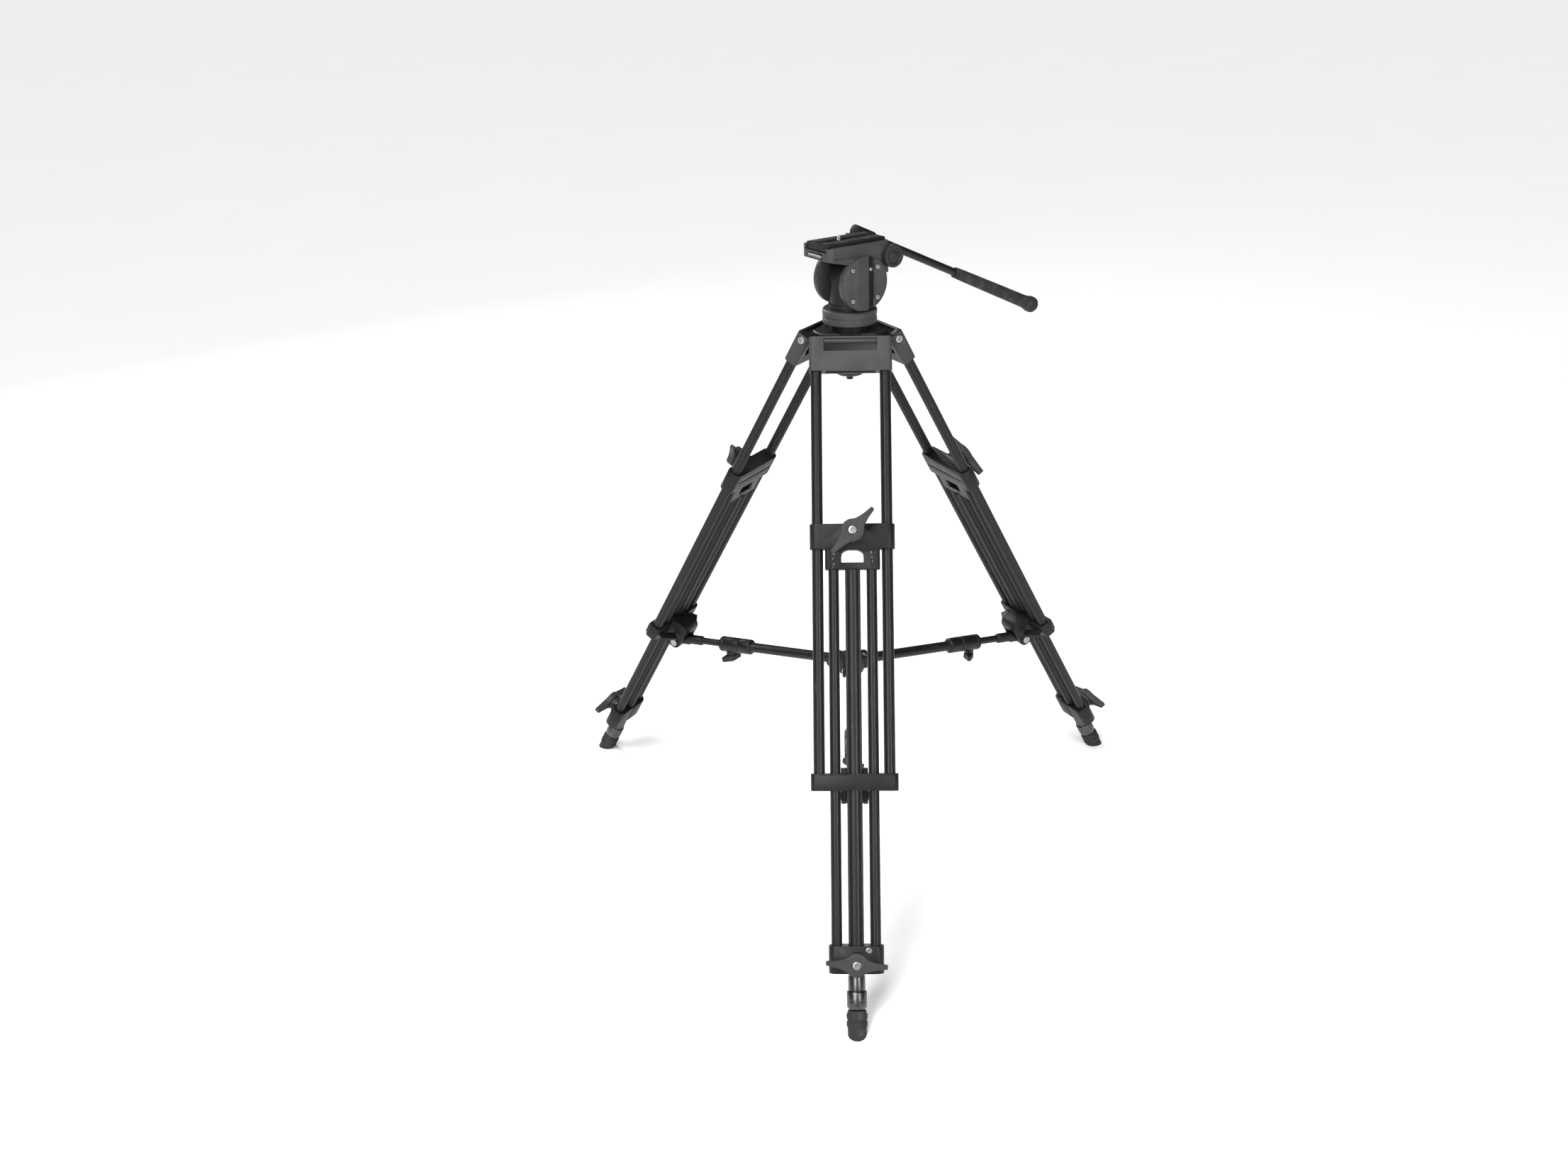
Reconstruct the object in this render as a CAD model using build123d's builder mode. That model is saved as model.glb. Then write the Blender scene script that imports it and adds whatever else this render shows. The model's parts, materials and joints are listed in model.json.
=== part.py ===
"""Tripod with fluid head: twin-tube legs with one sliding stage and a foot stage, a mid-level
spreader, and a bowl-mounted fluid head with pan bar. Millimetres, +Z up, floor at Z = 0.

Leg pieces are modelled once in an upright leg frame (hinge axis on X through the origin, leg
hanging down -Z, outside of the leg facing -Y) and placed three times. Head pieces are modelled
in the head frame (+X forward, +Y to the operator's left, Z = 0 at the leg hinges)."""

import os
from math import cos, radians, sin

from build123d import *

# Stance
LEG_ANGLE = 29.2        # lean of every leg from the vertical, degrees
HINGE_RADIUS = 49.0     # leg hinge axis to tripod axis
SOLE_DISTANCE = 972.0   # hinge to the middle of the sole, along the leg
PIVOT_HEIGHT = SOLE_DISTANCE * cos(radians(LEG_ANGLE))
TRIPOD_Y = 124.07       # puts the middle of the footprint on the origin
LEG_NAMES = ("front", "right", "left")
HEAD_YAW = 216.0        # heading of the fluid head

# Clearances
RUN = 0.06              # pin in a hole
SLIDE = 0.3             # sliding and rotating housings
SEAT = 0.05             # parts of one body that stand next to each other

# Leg tubes
UPPER_R = 8.0
UPPER_SPACING = 49.5    # tube centre to leg centre
UPPER_TOP, UPPER_END = 14.0, 637.0
SIDE_R = 7.5
SIDE_SPACING = 27.0
LOWER_R = 11.0
WALL = 1.4

# Stations down the leg from the hinge
YOKE_TOP, YOKE_END = -9.0, 41.0
CLAMP_TOP, CLAMP_END = 261.0, 297.0
SKIRT_END, SILL_TOP, SILL_END = 317.0, 317.0, 326.0
BRACKET_TOP, BRACKET_END = 613.0, 637.0
LOCK_TOP, LOCK_END = 850.0, 888.0
SLEEVE_END, FERRULE_END = 911.0, 938.5

# Spreader
LUG_S, LUG_IN = 646.0, 30.0      # spreader pin: down the leg, and inboard of its middle plane
HUB_Z = -541.0                   # hub pivots, from the leg hinges
HUB_PIVOT_R = 30.0
ARM_TUBE_R, ARM_ROD_R, COLLAR_R = 8.2, 5.8, 13.0

# Crown, bowl and head heights above the leg hinges
CROWN_TOP, CROWN_BOTTOM = 12.0, -12.0
BALL_R, BOWL_R, BOWL_OUT = 37.5, 37.8, 43.0
BASE_Z, BASE_TOP = 20.5, 41.0
TILT_Z, TILT_R = 82.0, 39.5
CRADLE_TOP, CRADLE_BELLY = 137.0, 112.0
PLATE_Z, PLATE_TOP = 131.0, 141.0
ROSETTE_X, ROSETTE_Z = -46.0, 116.5
BAR_X, BAR_Z, BAR_DROP = -46.0, 120.0, 24.8
PAN_LOCK_ANGLE = 90 - HEAD_YAW
SCREW_R = 3.175                  # 1/4 inch camera thread

os.makedirs("parts", exist_ok=True)


def save(shape, name):
    """Write one named piece."""
    shape.label = name
    export_step(shape, f"parts/{name}.step")


def leg_location(index):
    """Upright leg frame to the leg's real place; 0 is the front leg."""
    turn = Location((0, TRIPOD_Y, PIVOT_HEIGHT), (0, 0, 120 * index))
    return turn * Location((0, -HINGE_RADIUS, 0), (-LEG_ANGLE, 0, 0))


def save_leg_copies(shape, name):
    """Place one leg piece on all three legs."""
    for index, leg in enumerate(LEG_NAMES):
        save(leg_location(index) * shape, f"{name}_{leg}")


def head(shape):
    """Head frame to the head's real place."""
    return Location((0, TRIPOD_Y, PIVOT_HEIGHT), (0, 0, HEAD_YAW)) * shape


def across(x, y, z):
    """Sketch plane that faces -Y, with its origin at x, y, z."""
    return Plane(origin=(x, y, z), x_dir=(1, 0, 0), z_dir=(0, -1, 0))


def along_x(x, y, z):
    """Sketch plane that faces +X, with its origin at x, y, z."""
    return Plane(origin=(x, y, z), x_dir=(0, 1, 0), z_dir=(1, 0, 0))


def level(z):
    """Horizontal sketch plane."""
    return Plane.XY.offset(z)


def block(x0, x1, y0, y1, z0, z1, mode=Mode.ADD):
    """Box between two corners, inside the current part."""
    with Locations(((x0 + x1) / 2, (y0 + y1) / 2, (z0 + z1) / 2)):
        Box(x1 - x0, y1 - y0, z1 - z0, mode=mode)


def rod_x(radius, x0, x1, y=0.0, z=0.0, mode=Mode.ADD):
    """Cylinder along X, inside the current part."""
    with Locations(Location(((x0 + x1) / 2, y, z), (0, 90, 0))):
        Cylinder(radius, x1 - x0, mode=mode)


def rod_y(radius, y0, y1, x=0.0, z=0.0, mode=Mode.ADD):
    """Cylinder along Y, inside the current part."""
    with Locations(Location((x, (y0 + y1) / 2, z), (90, 0, 0))):
        Cylinder(radius, y1 - y0, mode=mode)


def rod_z(radius, z0, z1, x=0.0, y=0.0, mode=Mode.ADD):
    """Cylinder along Z, inside the current part."""
    with Locations((x, y, (z0 + z1) / 2)):
        Cylinder(radius, z1 - z0, mode=mode)


def fluted_tube(radius, x, top, end, flutes):
    """Drawn tube with shallow lengthwise flutes, open at both ends."""
    with BuildPart() as tube:
        with BuildSketch(level(-end)):
            with Locations((x, 0)):
                Circle(radius)
                with PolarLocations(radius + 0.35, flutes, 360 / flutes / 2):
                    Circle(0.9, mode=Mode.SUBTRACT)
                Circle(radius - WALL, mode=Mode.SUBTRACT)
        extrude(amount=end - top)
    return tube.part


# ---------------------------------------------------------------- crown (does not move)
def crown_casting():
    """Bowl casting with a lug for each leg."""
    with BuildPart() as crown:
        with BuildSketch(level(CROWN_BOTTOM)):
            Circle(56)
            with PolarLocations(0, 3, -90):
                with Locations((40.5 + 20, 0)):
                    Rectangle(40, 120, mode=Mode.SUBTRACT)
        extrude(amount=CROWN_TOP - CROWN_BOTTOM)
        fillet(crown.edges().filter_by(Axis.Z), 4)
        chamfer(crown.edges().group_by(Axis.Z)[-1], 1.5)
        with Locations((0, 0, CROWN_TOP)):
            Sphere(BOWL_OUT)
        for index in range(3):
            with Locations(Location((0, 0, 0), (0, 0, 120 * index))):
                with Locations((0, -HINGE_RADIUS + 6.5, 0)):
                    Box(80, 13, 13)
                with Locations(Location((0, -HINGE_RADIUS, 0), (0, 90, 0))):
                    Cylinder(6.5, 87)
        block(-90, 90, -90, 90, CROWN_TOP, 90, mode=Mode.SUBTRACT)
        block(-90, 90, -90, 90, -90, -21, mode=Mode.SUBTRACT)
        with Locations((0, 0, CROWN_TOP)):
            Sphere(BOWL_R, mode=Mode.SUBTRACT)
        for index in range(3):
            with Locations(Location((0, 0, 0), (0, 0, 120 * index))):
                with Locations(Location((0, -HINGE_RADIUS, 0), (0, 90, 0))):
                    Cylinder(4.0 + RUN, 100, mode=Mode.SUBTRACT)
    return Location((0, TRIPOD_Y, PIVOT_HEIGHT)) * crown.part


def hinge_bolts():
    """Shoulder bolt through each leg hinge, with a round head at both ends."""
    with BuildPart() as bolts:
        rod_x(4.0, -55.6, 55.6)
        for side in (-1, 1):
            rod_x(6.0, *sorted((side * 55.6, side * 58.8)))
            rod_x(2.6, *sorted((side * 57.4, side * 60)), mode=Mode.SUBTRACT)
    return Compound([leg_location(index) * bolts.part for index in range(3)])


# ---------------------------------------------------------------- upper leg stage
def yoke():
    """Channel casting that straddles the crown lug and holds both upper tubes."""
    half = UPPER_SPACING + 10
    with BuildPart() as body:
        block(-half, half, -11, 11, -YOKE_END, -YOKE_TOP)
        fillet(body.edges().filter_by(Axis.Z), 5)
        fillet(body.edges().filter_by(Axis.X).group_by(Axis.Z)[-1], 7)
        block(-44, 44, -7, 12, -24, 12, mode=Mode.SUBTRACT)
        block(-38, 38, -12, -6, -12, 6.9, mode=Mode.SUBTRACT)
        block(-36, 36, -7, 7, -YOKE_END - 1, -28, mode=Mode.SUBTRACT)
        for side in (-1, 1):
            rod_z(UPPER_R + SEAT, -YOKE_END - 1, -UPPER_TOP + SEAT, side * UPPER_SPACING,
                  mode=Mode.SUBTRACT)
            rod_x(4.0 + RUN, *sorted((side * 43, side * 61)), mode=Mode.SUBTRACT)
            rod_x(6.6, *sorted((side * 55.4, side * 61)), mode=Mode.SUBTRACT)
    return body.part


def upper_tubes():
    """Two fluted tubes of the upper stage."""
    return Compound([fluted_tube(UPPER_R, side * UPPER_SPACING, UPPER_TOP, UPPER_END, 6)
                     for side in (-1, 1)])


def mid_bracket():
    """Cross casting at the foot of the upper tubes, with the spreader clevis inboard."""
    with BuildPart() as body:
        block(-61.5, 61.5, -11, 11, -BRACKET_END, -BRACKET_TOP)
        fillet(body.edges().filter_by(Axis.Z), 6)
        block(-56.3, 56.3, -13, -10, -BRACKET_END + 1.5, -BRACKET_TOP - 1.5)
        with BuildSketch(along_x(-19, 0, 0)):
            with BuildLine():
                Polyline((9, -604), (33, -617), (42, -632), (40, -652), (30, -657), (20, -650),
                         (13, -636), (9, -636), close=True)
            make_face()
        extrude(amount=38)
        with BuildSketch(level(-625)):
            with BuildLine():
                Polyline((-50, 9), (50, 9), (19, 32), (-19, 32), close=True)
            make_face()
        extrude(amount=5)
        block(-13, 13, 16, 60, -670, -625.3, mode=Mode.SUBTRACT)
        for side in (-1, 1):
            rod_z(UPPER_R + SEAT, -BRACKET_END - 1, -BRACKET_TOP + 1, side * UPPER_SPACING,
                  mode=Mode.SUBTRACT)
            rod_z(SIDE_R + SLIDE, -BRACKET_END - 1, -BRACKET_TOP + 10, side * SIDE_SPACING,
                  mode=Mode.SUBTRACT)
        rod_z(LOWER_R + SLIDE, -BRACKET_END - 20, -BRACKET_TOP + 20, mode=Mode.SUBTRACT)
        rod_x(4.0 + SEAT, -30, 30, LUG_IN, -LUG_S, mode=Mode.SUBTRACT)
    return body.part


def lug_pin():
    """Pin the spreader arm hangs on, with a head at both ends."""
    with BuildPart() as pin:
        rod_x(4.0, -20.5, 20.5, LUG_IN, -LUG_S)
        for side in (-1, 1):
            rod_x(6.5, *sorted((side * (19 + SEAT), side * 22)), LUG_IN, -LUG_S)
    return pin.part


# ---------------------------------------------------------------- middle leg stage
def clamp_block():
    """Sliding clamp on the upper tubes; its skirt carries the side tubes."""
    with BuildPart() as body:
        block(-60.5, 60.5, -12, 12, -CLAMP_END, -CLAMP_TOP)
        fillet(body.edges().filter_by(Axis.Z), 8)
        block(-37, 37, -10, 10, -SILL_END, -CLAMP_END + 0.01)
        with BuildSketch(across(0, 12, -SKIRT_END + 1)):
            with Locations((0, 6)):
                Rectangle(31.6, 12)
            with Locations((0, 12)):
                Ellipse(15.8, 4.5)
        extrude(amount=24, mode=Mode.SUBTRACT)
        block(-41, 41, -6, 6, -SILL_TOP + 1, -CLAMP_END - 3)
        with BuildSketch(across(0, 12, -SKIRT_END + 1)):
            with Locations((0, 6)):
                Rectangle(31.6, 12)
            with Locations((0, 12)):
                Ellipse(15.8, 4.5)
        extrude(amount=24, mode=Mode.SUBTRACT)
        rod_y(14.5, -20, -11, 0, -273)
        rod_y(4.0 + RUN, -21, -8, 0, -273, mode=Mode.SUBTRACT)
        for side in (-1, 1):
            rod_z(UPPER_R + SLIDE, -CLAMP_END - 1, -CLAMP_TOP + 1, side * UPPER_SPACING,
                  mode=Mode.SUBTRACT)
            rod_z(UPPER_R + 2, -SILL_END - 1, -CLAMP_END, side * UPPER_SPACING,
                  mode=Mode.SUBTRACT)
            rod_z(SIDE_R + SEAT, -SILL_END - 1, -CLAMP_END + 1, side * SIDE_SPACING,
                  mode=Mode.SUBTRACT)
    return body.part


def side_tubes():
    """Two plain tubes of the middle stage."""
    with BuildPart() as tubes:
        for side in (-1, 1):
            rod_z(SIDE_R, -LOCK_END + 3, -CLAMP_END + 0.9, side * SIDE_SPACING)
            rod_z(SIDE_R - WALL, -LOCK_END + 2, -CLAMP_END + 2, side * SIDE_SPACING,
                  mode=Mode.SUBTRACT)
    return tubes.part


def lower_lock():
    """Lock casting at the foot of the side tubes; the foot stage slides through it."""
    with BuildPart() as body:
        block(-38.4, 38.4, -13, 13, -LOCK_END, -LOCK_TOP)
        fillet(body.edges().filter_by(Axis.Z), 9)
        rod_y(14.5, -21, -12, 0, -872.5)
        rod_y(4.0 + RUN, -22, -11.7, 0, -872.5, mode=Mode.SUBTRACT)
        rod_z(LOWER_R + SLIDE, -LOCK_END - 1, -LOCK_TOP + 1, mode=Mode.SUBTRACT)
        for side in (-1, 1):
            rod_z(SIDE_R + SEAT, -LOCK_END + 3 - SEAT, -LOCK_TOP + 1, side * SIDE_SPACING,
                  mode=Mode.SUBTRACT)
    return body.part


def wing_knob(y, s, turn):
    """Two-winged clamp knob on a front boss; turn is the angle of its wings."""
    with BuildPart() as knob:
        rod_y(16.5, y - 17, y - 0.5)
        fillet(knob.edges().group_by(Axis.Y)[0], 2)
        with BuildSketch(across(0, y - 5, 0)):
            SlotOverall(84, 15, rotation=turn)
            with BuildLine():
                for line in wing_outline(turn):
                    Polyline(*line, close=True)
            make_face()
        extrude(amount=10)
        rod_y(4.0, y - 1, y + 8)
        rod_y(6.5, y - 19, y - 16.9)
        rod_y(3.0, y - 20, y - 17.6, mode=Mode.SUBTRACT)
    return Location((0, 0, -s)) * knob.part


def wing_outline(turn):
    """Kite between the hub and the wing tips."""
    along = Vector(cos(radians(turn)), sin(radians(turn)))
    aside = Vector(-along.Y, along.X)
    tip, root = along * 38, aside * 15
    return [[(p.X, p.Y) for p in (tip, root, tip * -1, root * -1)]]


# ---------------------------------------------------------------- foot stage
def foot_tube():
    """Fluted tube of the foot stage."""
    return fluted_tube(LOWER_R, 0, SILL_END + 4, SLEEVE_END - 2.1, 8)


def foot_sleeve():
    """Plain sleeve and stepped ferrule pressed on the end of the foot tube."""
    with BuildPart() as sleeve:
        rod_z(11.8, -SLEEVE_END - 1, -LOCK_END - 4)
        rod_z(14, -FERRULE_END, -SLEEVE_END)
        fillet(sleeve.edges().group_by(Axis.Z)[0], 4)
        rod_z(LOWER_R + SEAT, -SLEEVE_END + 2, -LOCK_END, mode=Mode.SUBTRACT)
    return sleeve.part


def rubber_foot():
    """Rubber shoe, cut level so the whole sole meets the floor."""
    up = (0, -sin(radians(LEG_ANGLE)), cos(radians(LEG_ANGLE)))
    with BuildPart() as foot:
        rod_z(13.2, -SOLE_DISTANCE - 12, -FERRULE_END - SEAT)
        rod_z(14.6, -FERRULE_END - 14, -FERRULE_END - 5)
        rod_z(14.6, -FERRULE_END - 24, -FERRULE_END - 17)
        sole = Plane(origin=(0, 0, -SOLE_DISTANCE), x_dir=(1, 0, 0), z_dir=up)
        split(bisect_by=sole, keep=Keep.TOP)
    return foot.part


# ---------------------------------------------------------------- spreader
def arm_location(index):
    """Arm frame (+X along the arm, hinge on Y through the origin) to its real place."""
    lug_r = HINGE_RADIUS + LUG_S * sin(radians(LEG_ANGLE)) - LUG_IN * cos(radians(LEG_ANGLE))
    lug_z = -LUG_S * cos(radians(LEG_ANGLE)) - LUG_IN * sin(radians(LEG_ANGLE))
    reach = Vector(lug_r - HUB_PIVOT_R, 0, lug_z - HUB_Z)
    drop = Vector(1, 0, 0).get_signed_angle(reach, Vector(0, 1, 0))
    turn = Location((0, TRIPOD_Y, PIVOT_HEIGHT + HUB_Z), (0, 0, 120 * index - 90))
    return turn * Location((HUB_PIVOT_R, 0, 0), (0, drop, 0)), reach.length


def save_arm_copies(shape, name):
    """Place one arm piece on all three arms."""
    for index, leg in enumerate(LEG_NAMES):
        save(arm_location(index)[0] * shape, f"{name}_{leg}")


def spreader_hub():
    """Hub with three clevises for the arms."""
    with BuildPart() as hub:
        rod_z(21, -13, 13)
        fillet(hub.edges().group_by(Axis.Z)[-1], 3)
        for index in range(3):
            with Locations(Location((0, 0, 0), (0, 0, 120 * index - 90))):
                with Locations((25, 0, 0)):
                    Box(26, 27, 20)
        for index in range(3):
            with Locations(Location((0, 0, 0), (0, 0, 120 * index - 90))):
                with Locations((HUB_PIVOT_R + 4, 0, 0)):
                    Box(32, 16.6, 40, mode=Mode.SUBTRACT)
                with Locations(Location((HUB_PIVOT_R, 0, 0), (90, 0, 0))):
                    Cylinder(3.0 + SEAT, 40, mode=Mode.SUBTRACT)
        rod_z(7, -30, 30, mode=Mode.SUBTRACT)
    return Location((0, TRIPOD_Y, PIVOT_HEIGHT + HUB_Z)) * hub.part


def hub_pins():
    """Pins of the three hub clevises."""
    with BuildPart() as pins:
        for index in range(3):
            with Locations(Location((0, 0, 0), (0, 0, 120 * index - 90))):
                with Locations(Location((HUB_PIVOT_R, 0, 0), (90, 0, 0))):
                    Cylinder(3.0, 29)
    return Location((0, TRIPOD_Y, PIVOT_HEIGHT + HUB_Z)) * pins.part


def arm_tube():
    """Outer tube of an arm with its hinge eye."""
    with BuildPart() as tube:
        rod_x(ARM_TUBE_R, 6, 166)
        rod_x(ARM_ROD_R + SLIDE, 20, 170, mode=Mode.SUBTRACT)
        rod_y(9, -8, 8)
        rod_x(ARM_ROD_R + SLIDE, 20, 170, mode=Mode.SUBTRACT)
        rod_y(3.0 + RUN, -10, 10, mode=Mode.SUBTRACT)
    return tube.part


def arm_collar():
    """Clamp collar at the open end of the arm tube, with a boss below for its knob."""
    with BuildPart() as collar:
        rod_x(COLLAR_R, 160, 222)
        fillet(collar.edges().group_by(Axis.X)[0], 3)
        rod_z(7.5, -18, -8, 207)
        rod_x(ARM_TUBE_R + SEAT, 159, 166 + SEAT, mode=Mode.SUBTRACT)
        rod_x(ARM_ROD_R + SLIDE, 150, 230, mode=Mode.SUBTRACT)
        rod_z(2.5 + RUN, -19, -8, 207, mode=Mode.SUBTRACT)
    return collar.part


def arm_knob():
    """Small winged knob that hangs below the collar."""
    with BuildPart() as knob:
        rod_z(8.5, -29, -18.5, 207)
        with BuildSketch(level(-28)):
            with Locations((207, 0)):
                SlotOverall(36, 9, rotation=60)
        extrude(amount=7)
        rod_z(2.5, -19, -12, 207)
        rod_z(4.2, -31, -28.9, 207)
    return knob.part


def arm_rod(reach):
    """Inner rod of an arm; its end eye has play on the leg pin."""
    with BuildPart() as rod:
        rod_x(ARM_ROD_R, 50, 268)
        rod_x(8.2, 262, reach - 6)
        rod_y(11, -12, 12, reach)
        block(reach - 24, reach, -8, 8, -7, 7)
        rod_y(4.0 + 2.2, -13, 13, reach, mode=Mode.SUBTRACT)
    return rod.part


# ---------------------------------------------------------------- levelling base of the head
def half_ball():
    """Half ball that sits in the bowl."""
    with BuildPart() as ball:
        with Locations((0, 0, CROWN_TOP)):
            Sphere(BALL_R)
        block(-50, 50, -50, 50, CROWN_TOP, 60, mode=Mode.SUBTRACT)
        block(-50, 50, -50, 50, -60, -21, mode=Mode.SUBTRACT)
        rod_z(30, CROWN_TOP - 1, BASE_Z)
    return ball.part


def stud():
    """Tie-down stud below the half ball."""
    with BuildPart() as bar:
        rod_z(5, -66, -21)
    return bar.part


def tie_down_cup():
    """Spherical washer that grips the underside of the bowl."""
    with BuildPart() as cup:
        with Locations((0, 0, CROWN_TOP)):
            Sphere(48)
            Sphere(BOWL_OUT + SLIDE, mode=Mode.SUBTRACT)
        block(-60, 60, -60, 60, -20.5, 70, mode=Mode.SUBTRACT)
        rod_z(5 + SEAT, -60, 0, mode=Mode.SUBTRACT)
    return cup.part


def tie_down_knob():
    """Star knob that pulls the ball into the bowl."""
    with BuildPart() as knob:
        rod_z(23, -59, -37)
        with PolarLocations(27, 8):
            Cylinder(6, 200, mode=Mode.SUBTRACT)
        fillet(knob.edges().group_by(Axis.Z)[0], 2)
        rod_z(5 + RUN, -70, -30, mode=Mode.SUBTRACT)
    return knob.part


def pan_base():
    """Fixed drum of the pan unit, with a shallow band around it."""
    with BuildPart() as base:
        rod_z(40, BASE_Z, BASE_TOP)
        fillet(base.edges().group_by(Axis.Z)[-1], 1.5)
        with BuildSketch(level(29)):
            Circle(41)
            Circle(39.2, mode=Mode.SUBTRACT)
        extrude(amount=3, mode=Mode.SUBTRACT)
        rod_z(18 + SLIDE, BASE_TOP - 8, BASE_TOP + 1, mode=Mode.SUBTRACT)
        with Locations(Location((0, 0, 31), (0, 0, PAN_LOCK_ANGLE))):
            with Locations(Location((38, 0, 0), (0, 90, 0))):
                Cylinder(3.0 + RUN, 6, mode=Mode.SUBTRACT)
    return base.part


def lock_lever(length):
    """Small lever with a round hub on Z, reaching +X, and a stem below."""
    with BuildPart() as lever:
        rod_z(7.5, 0, 8)
        with BuildSketch(level(2)):
            with Locations((length / 2, 0)):
                Trapezoid(13, length, 83, rotation=-90)
            with Locations((length, 0)):
                Circle(5)
        extrude(amount=5)
        rod_z(3.0, -5.2, 0.01)
    return lever.part


def pan_lock():
    """Fluted knob that stands out of the fixed drum between two legs."""
    with BuildPart() as knob:
        rod_x(8.5, 41.5, 57)
        with Locations(Location((50, 0, 0), (0, 90, 0))):
            with PolarLocations(9.8, 8):
                Cylinder(2.2, 30, mode=Mode.SUBTRACT)
        rod_x(3.0, 35.2, 42)
    return Location((0, 0, 31), (0, 0, PAN_LOCK_ANGLE)) * knob.part


def tilt_lock():
    """Lever in the middle of the far side cover."""
    seat = Location((0, -39.8, TILT_Z), (90, 0, 0)) * Location((0, 0, 0), (0, 0, -50))
    return seat * lock_lever(30)


# ---------------------------------------------------------------- panning body
def pan_body():
    """Upright drum between the tilt cheeks, with the tilt shaft across it."""
    with BuildPart() as body:
        rod_z(29, BASE_TOP + SLIDE, TILT_Z)
        with BuildPart(mode=Mode.PRIVATE) as top:
            rod_y(29, -26.4, 26.4, 0, TILT_Z)
            with Locations((0, 0, TILT_Z)):
                Cylinder(29, 80, mode=Mode.INTERSECT)
        add(top.part)
        rod_z(31, BASE_TOP + SLIDE, BASE_TOP + 7)
        for side in (-1, 1):
            block(-40, 40, *sorted((side * 26.4, side * 40)), BASE_TOP + 1.2, 130,
                  mode=Mode.SUBTRACT)
        rod_y(14, -34, 34, 0, TILT_Z)
        rod_z(18, BASE_TOP - 7.5, BASE_TOP + 1)
    return body.part


# ---------------------------------------------------------------- tilting body
def tilt_cradle():
    """Camera platform fused to the two round cheeks that carry it."""
    with BuildPart() as body:
        with BuildSketch(across(0, 33.5, 0)):
            with BuildLine():
                Polyline((-48, CRADLE_TOP), (60, CRADLE_TOP), (60, 119), (30, CRADLE_BELLY),
                         (-30, CRADLE_BELLY), (-48, 117), close=True)
            make_face()
        extrude(amount=67)
        fillet(body.edges().filter_by(Axis.Z), 6)
        rod_y(14.5, -30, 36, ROSETTE_X, ROSETTE_Z)
        rod_y(14.5, -36, -20, BAR_X, BAR_Z)
        for side in (-1, 1):
            y0, y1 = sorted((side * 27, side * 34.5))
            rod_y(TILT_R, y0, y1, 0, TILT_Z)
            block(-42, -18, y0, y1, 92, 116)
        rod_y(14 + SLIDE, -40, 40, 0, TILT_Z, mode=Mode.SUBTRACT)
        with BuildSketch(along_x(-80, 0, 0)):
            with BuildLine():
                Polyline((-25.6, PLATE_Z - SLIDE), (25.6, PLATE_Z - SLIDE), (22.6, CRADLE_TOP + 1),
                         (-22.6, CRADLE_TOP + 1), close=True)
            make_face()
        extrude(amount=160, mode=Mode.SUBTRACT)
        rod_x(1.6, 50, 61, 9, 131, mode=Mode.SUBTRACT)
        block(52, 61, -16.5, 15.5, 120.8, 127.4, mode=Mode.SUBTRACT)
        rod_y(3.0 + RUN, -40, 40, ROSETTE_X, ROSETTE_Z, mode=Mode.SUBTRACT)
    return body.part


def side_cover(side):
    """Round cover over a cheek: two raised pads with a channel between them."""
    with BuildPart() as cover:
        y0, y1 = sorted((side * (34.5 + SEAT), side * 39.5))
        rod_y(TILT_R - 0.8, y0, y1, 0, TILT_Z)
        outer = cover.edges().filter_by(GeomType.CIRCLE).sort_by(Axis.Y)[-1 if side > 0 else 0]
        fillet(outer, 1.8)
        y0, y1 = sorted((side * 37, side * 41))
        block(-13.5, -5, y0, y1, 40, 125, mode=Mode.SUBTRACT)
        rod_y(3.0 + RUN, -41, 41, 0, TILT_Z, mode=Mode.SUBTRACT)
        for x in (-22, 22):
            for z in (-22, 22):
                rod_y(3.6, *sorted((side * 38.2, side * 41)), x, TILT_Z + z, mode=Mode.SUBTRACT)
    return cover.part


def cover_screws():
    """Screw heads in both side covers."""
    with BuildPart() as screws:
        for side in (-1, 1):
            for x in (-22, 22):
                for z in (-22, 22):
                    rod_y(3.2, *sorted((side * (38.2 + SEAT), side * 40)), x, TILT_Z + z)
    return screws.part


def quick_plate():
    """Dovetail camera plate with a slot for the camera screw."""
    with BuildPart() as plate:
        with BuildSketch(along_x(-46, 0, 0)):
            with BuildLine():
                Polyline((-25.2, PLATE_Z), (25.2, PLATE_Z), (22.2, CRADLE_TOP + SLIDE),
                         (25, CRADLE_TOP + SLIDE), (25, PLATE_TOP), (-25, PLATE_TOP),
                         (-25, CRADLE_TOP + SLIDE), (-22.2, CRADLE_TOP + SLIDE), close=True)
            make_face()
        extrude(amount=104)
        with BuildSketch(level(PLATE_Z - 1)):
            with Locations((6, 0)):
                SlotOverall(70, 7.2)
        extrude(amount=20, mode=Mode.SUBTRACT)
        with BuildSketch(level(PLATE_Z - 1)):
            with Locations((6, 0)):
                SlotOverall(80, 17)
        extrude(amount=6, mode=Mode.SUBTRACT)
    return plate.part


def plate_pads():
    """Two rubber strips on the camera plate."""
    with BuildPart() as pads:
        for side in (-1, 1):
            y0, y1 = sorted((side * 7, side * 21))
            block(-42, 54, y0, y1, PLATE_TOP + 0.01, PLATE_TOP + 1.2)
    return pads.part


def camera_screw():
    """Quarter-inch camera screw, held in the plate's slot."""
    with BuildPart() as screw:
        rod_z(7, PLATE_Z + 1, PLATE_Z + 4.9, 18)
        rod_z(2.9, PLATE_Z + 4, PLATE_TOP + 0.2, 18)
        rod_z(SCREW_R, PLATE_TOP + 0.2, PLATE_TOP + 6, 18)
        block(5, 31, -0.8, 0.8, PLATE_Z, PLATE_Z + 2.2, mode=Mode.SUBTRACT)
    return screw.part


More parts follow.
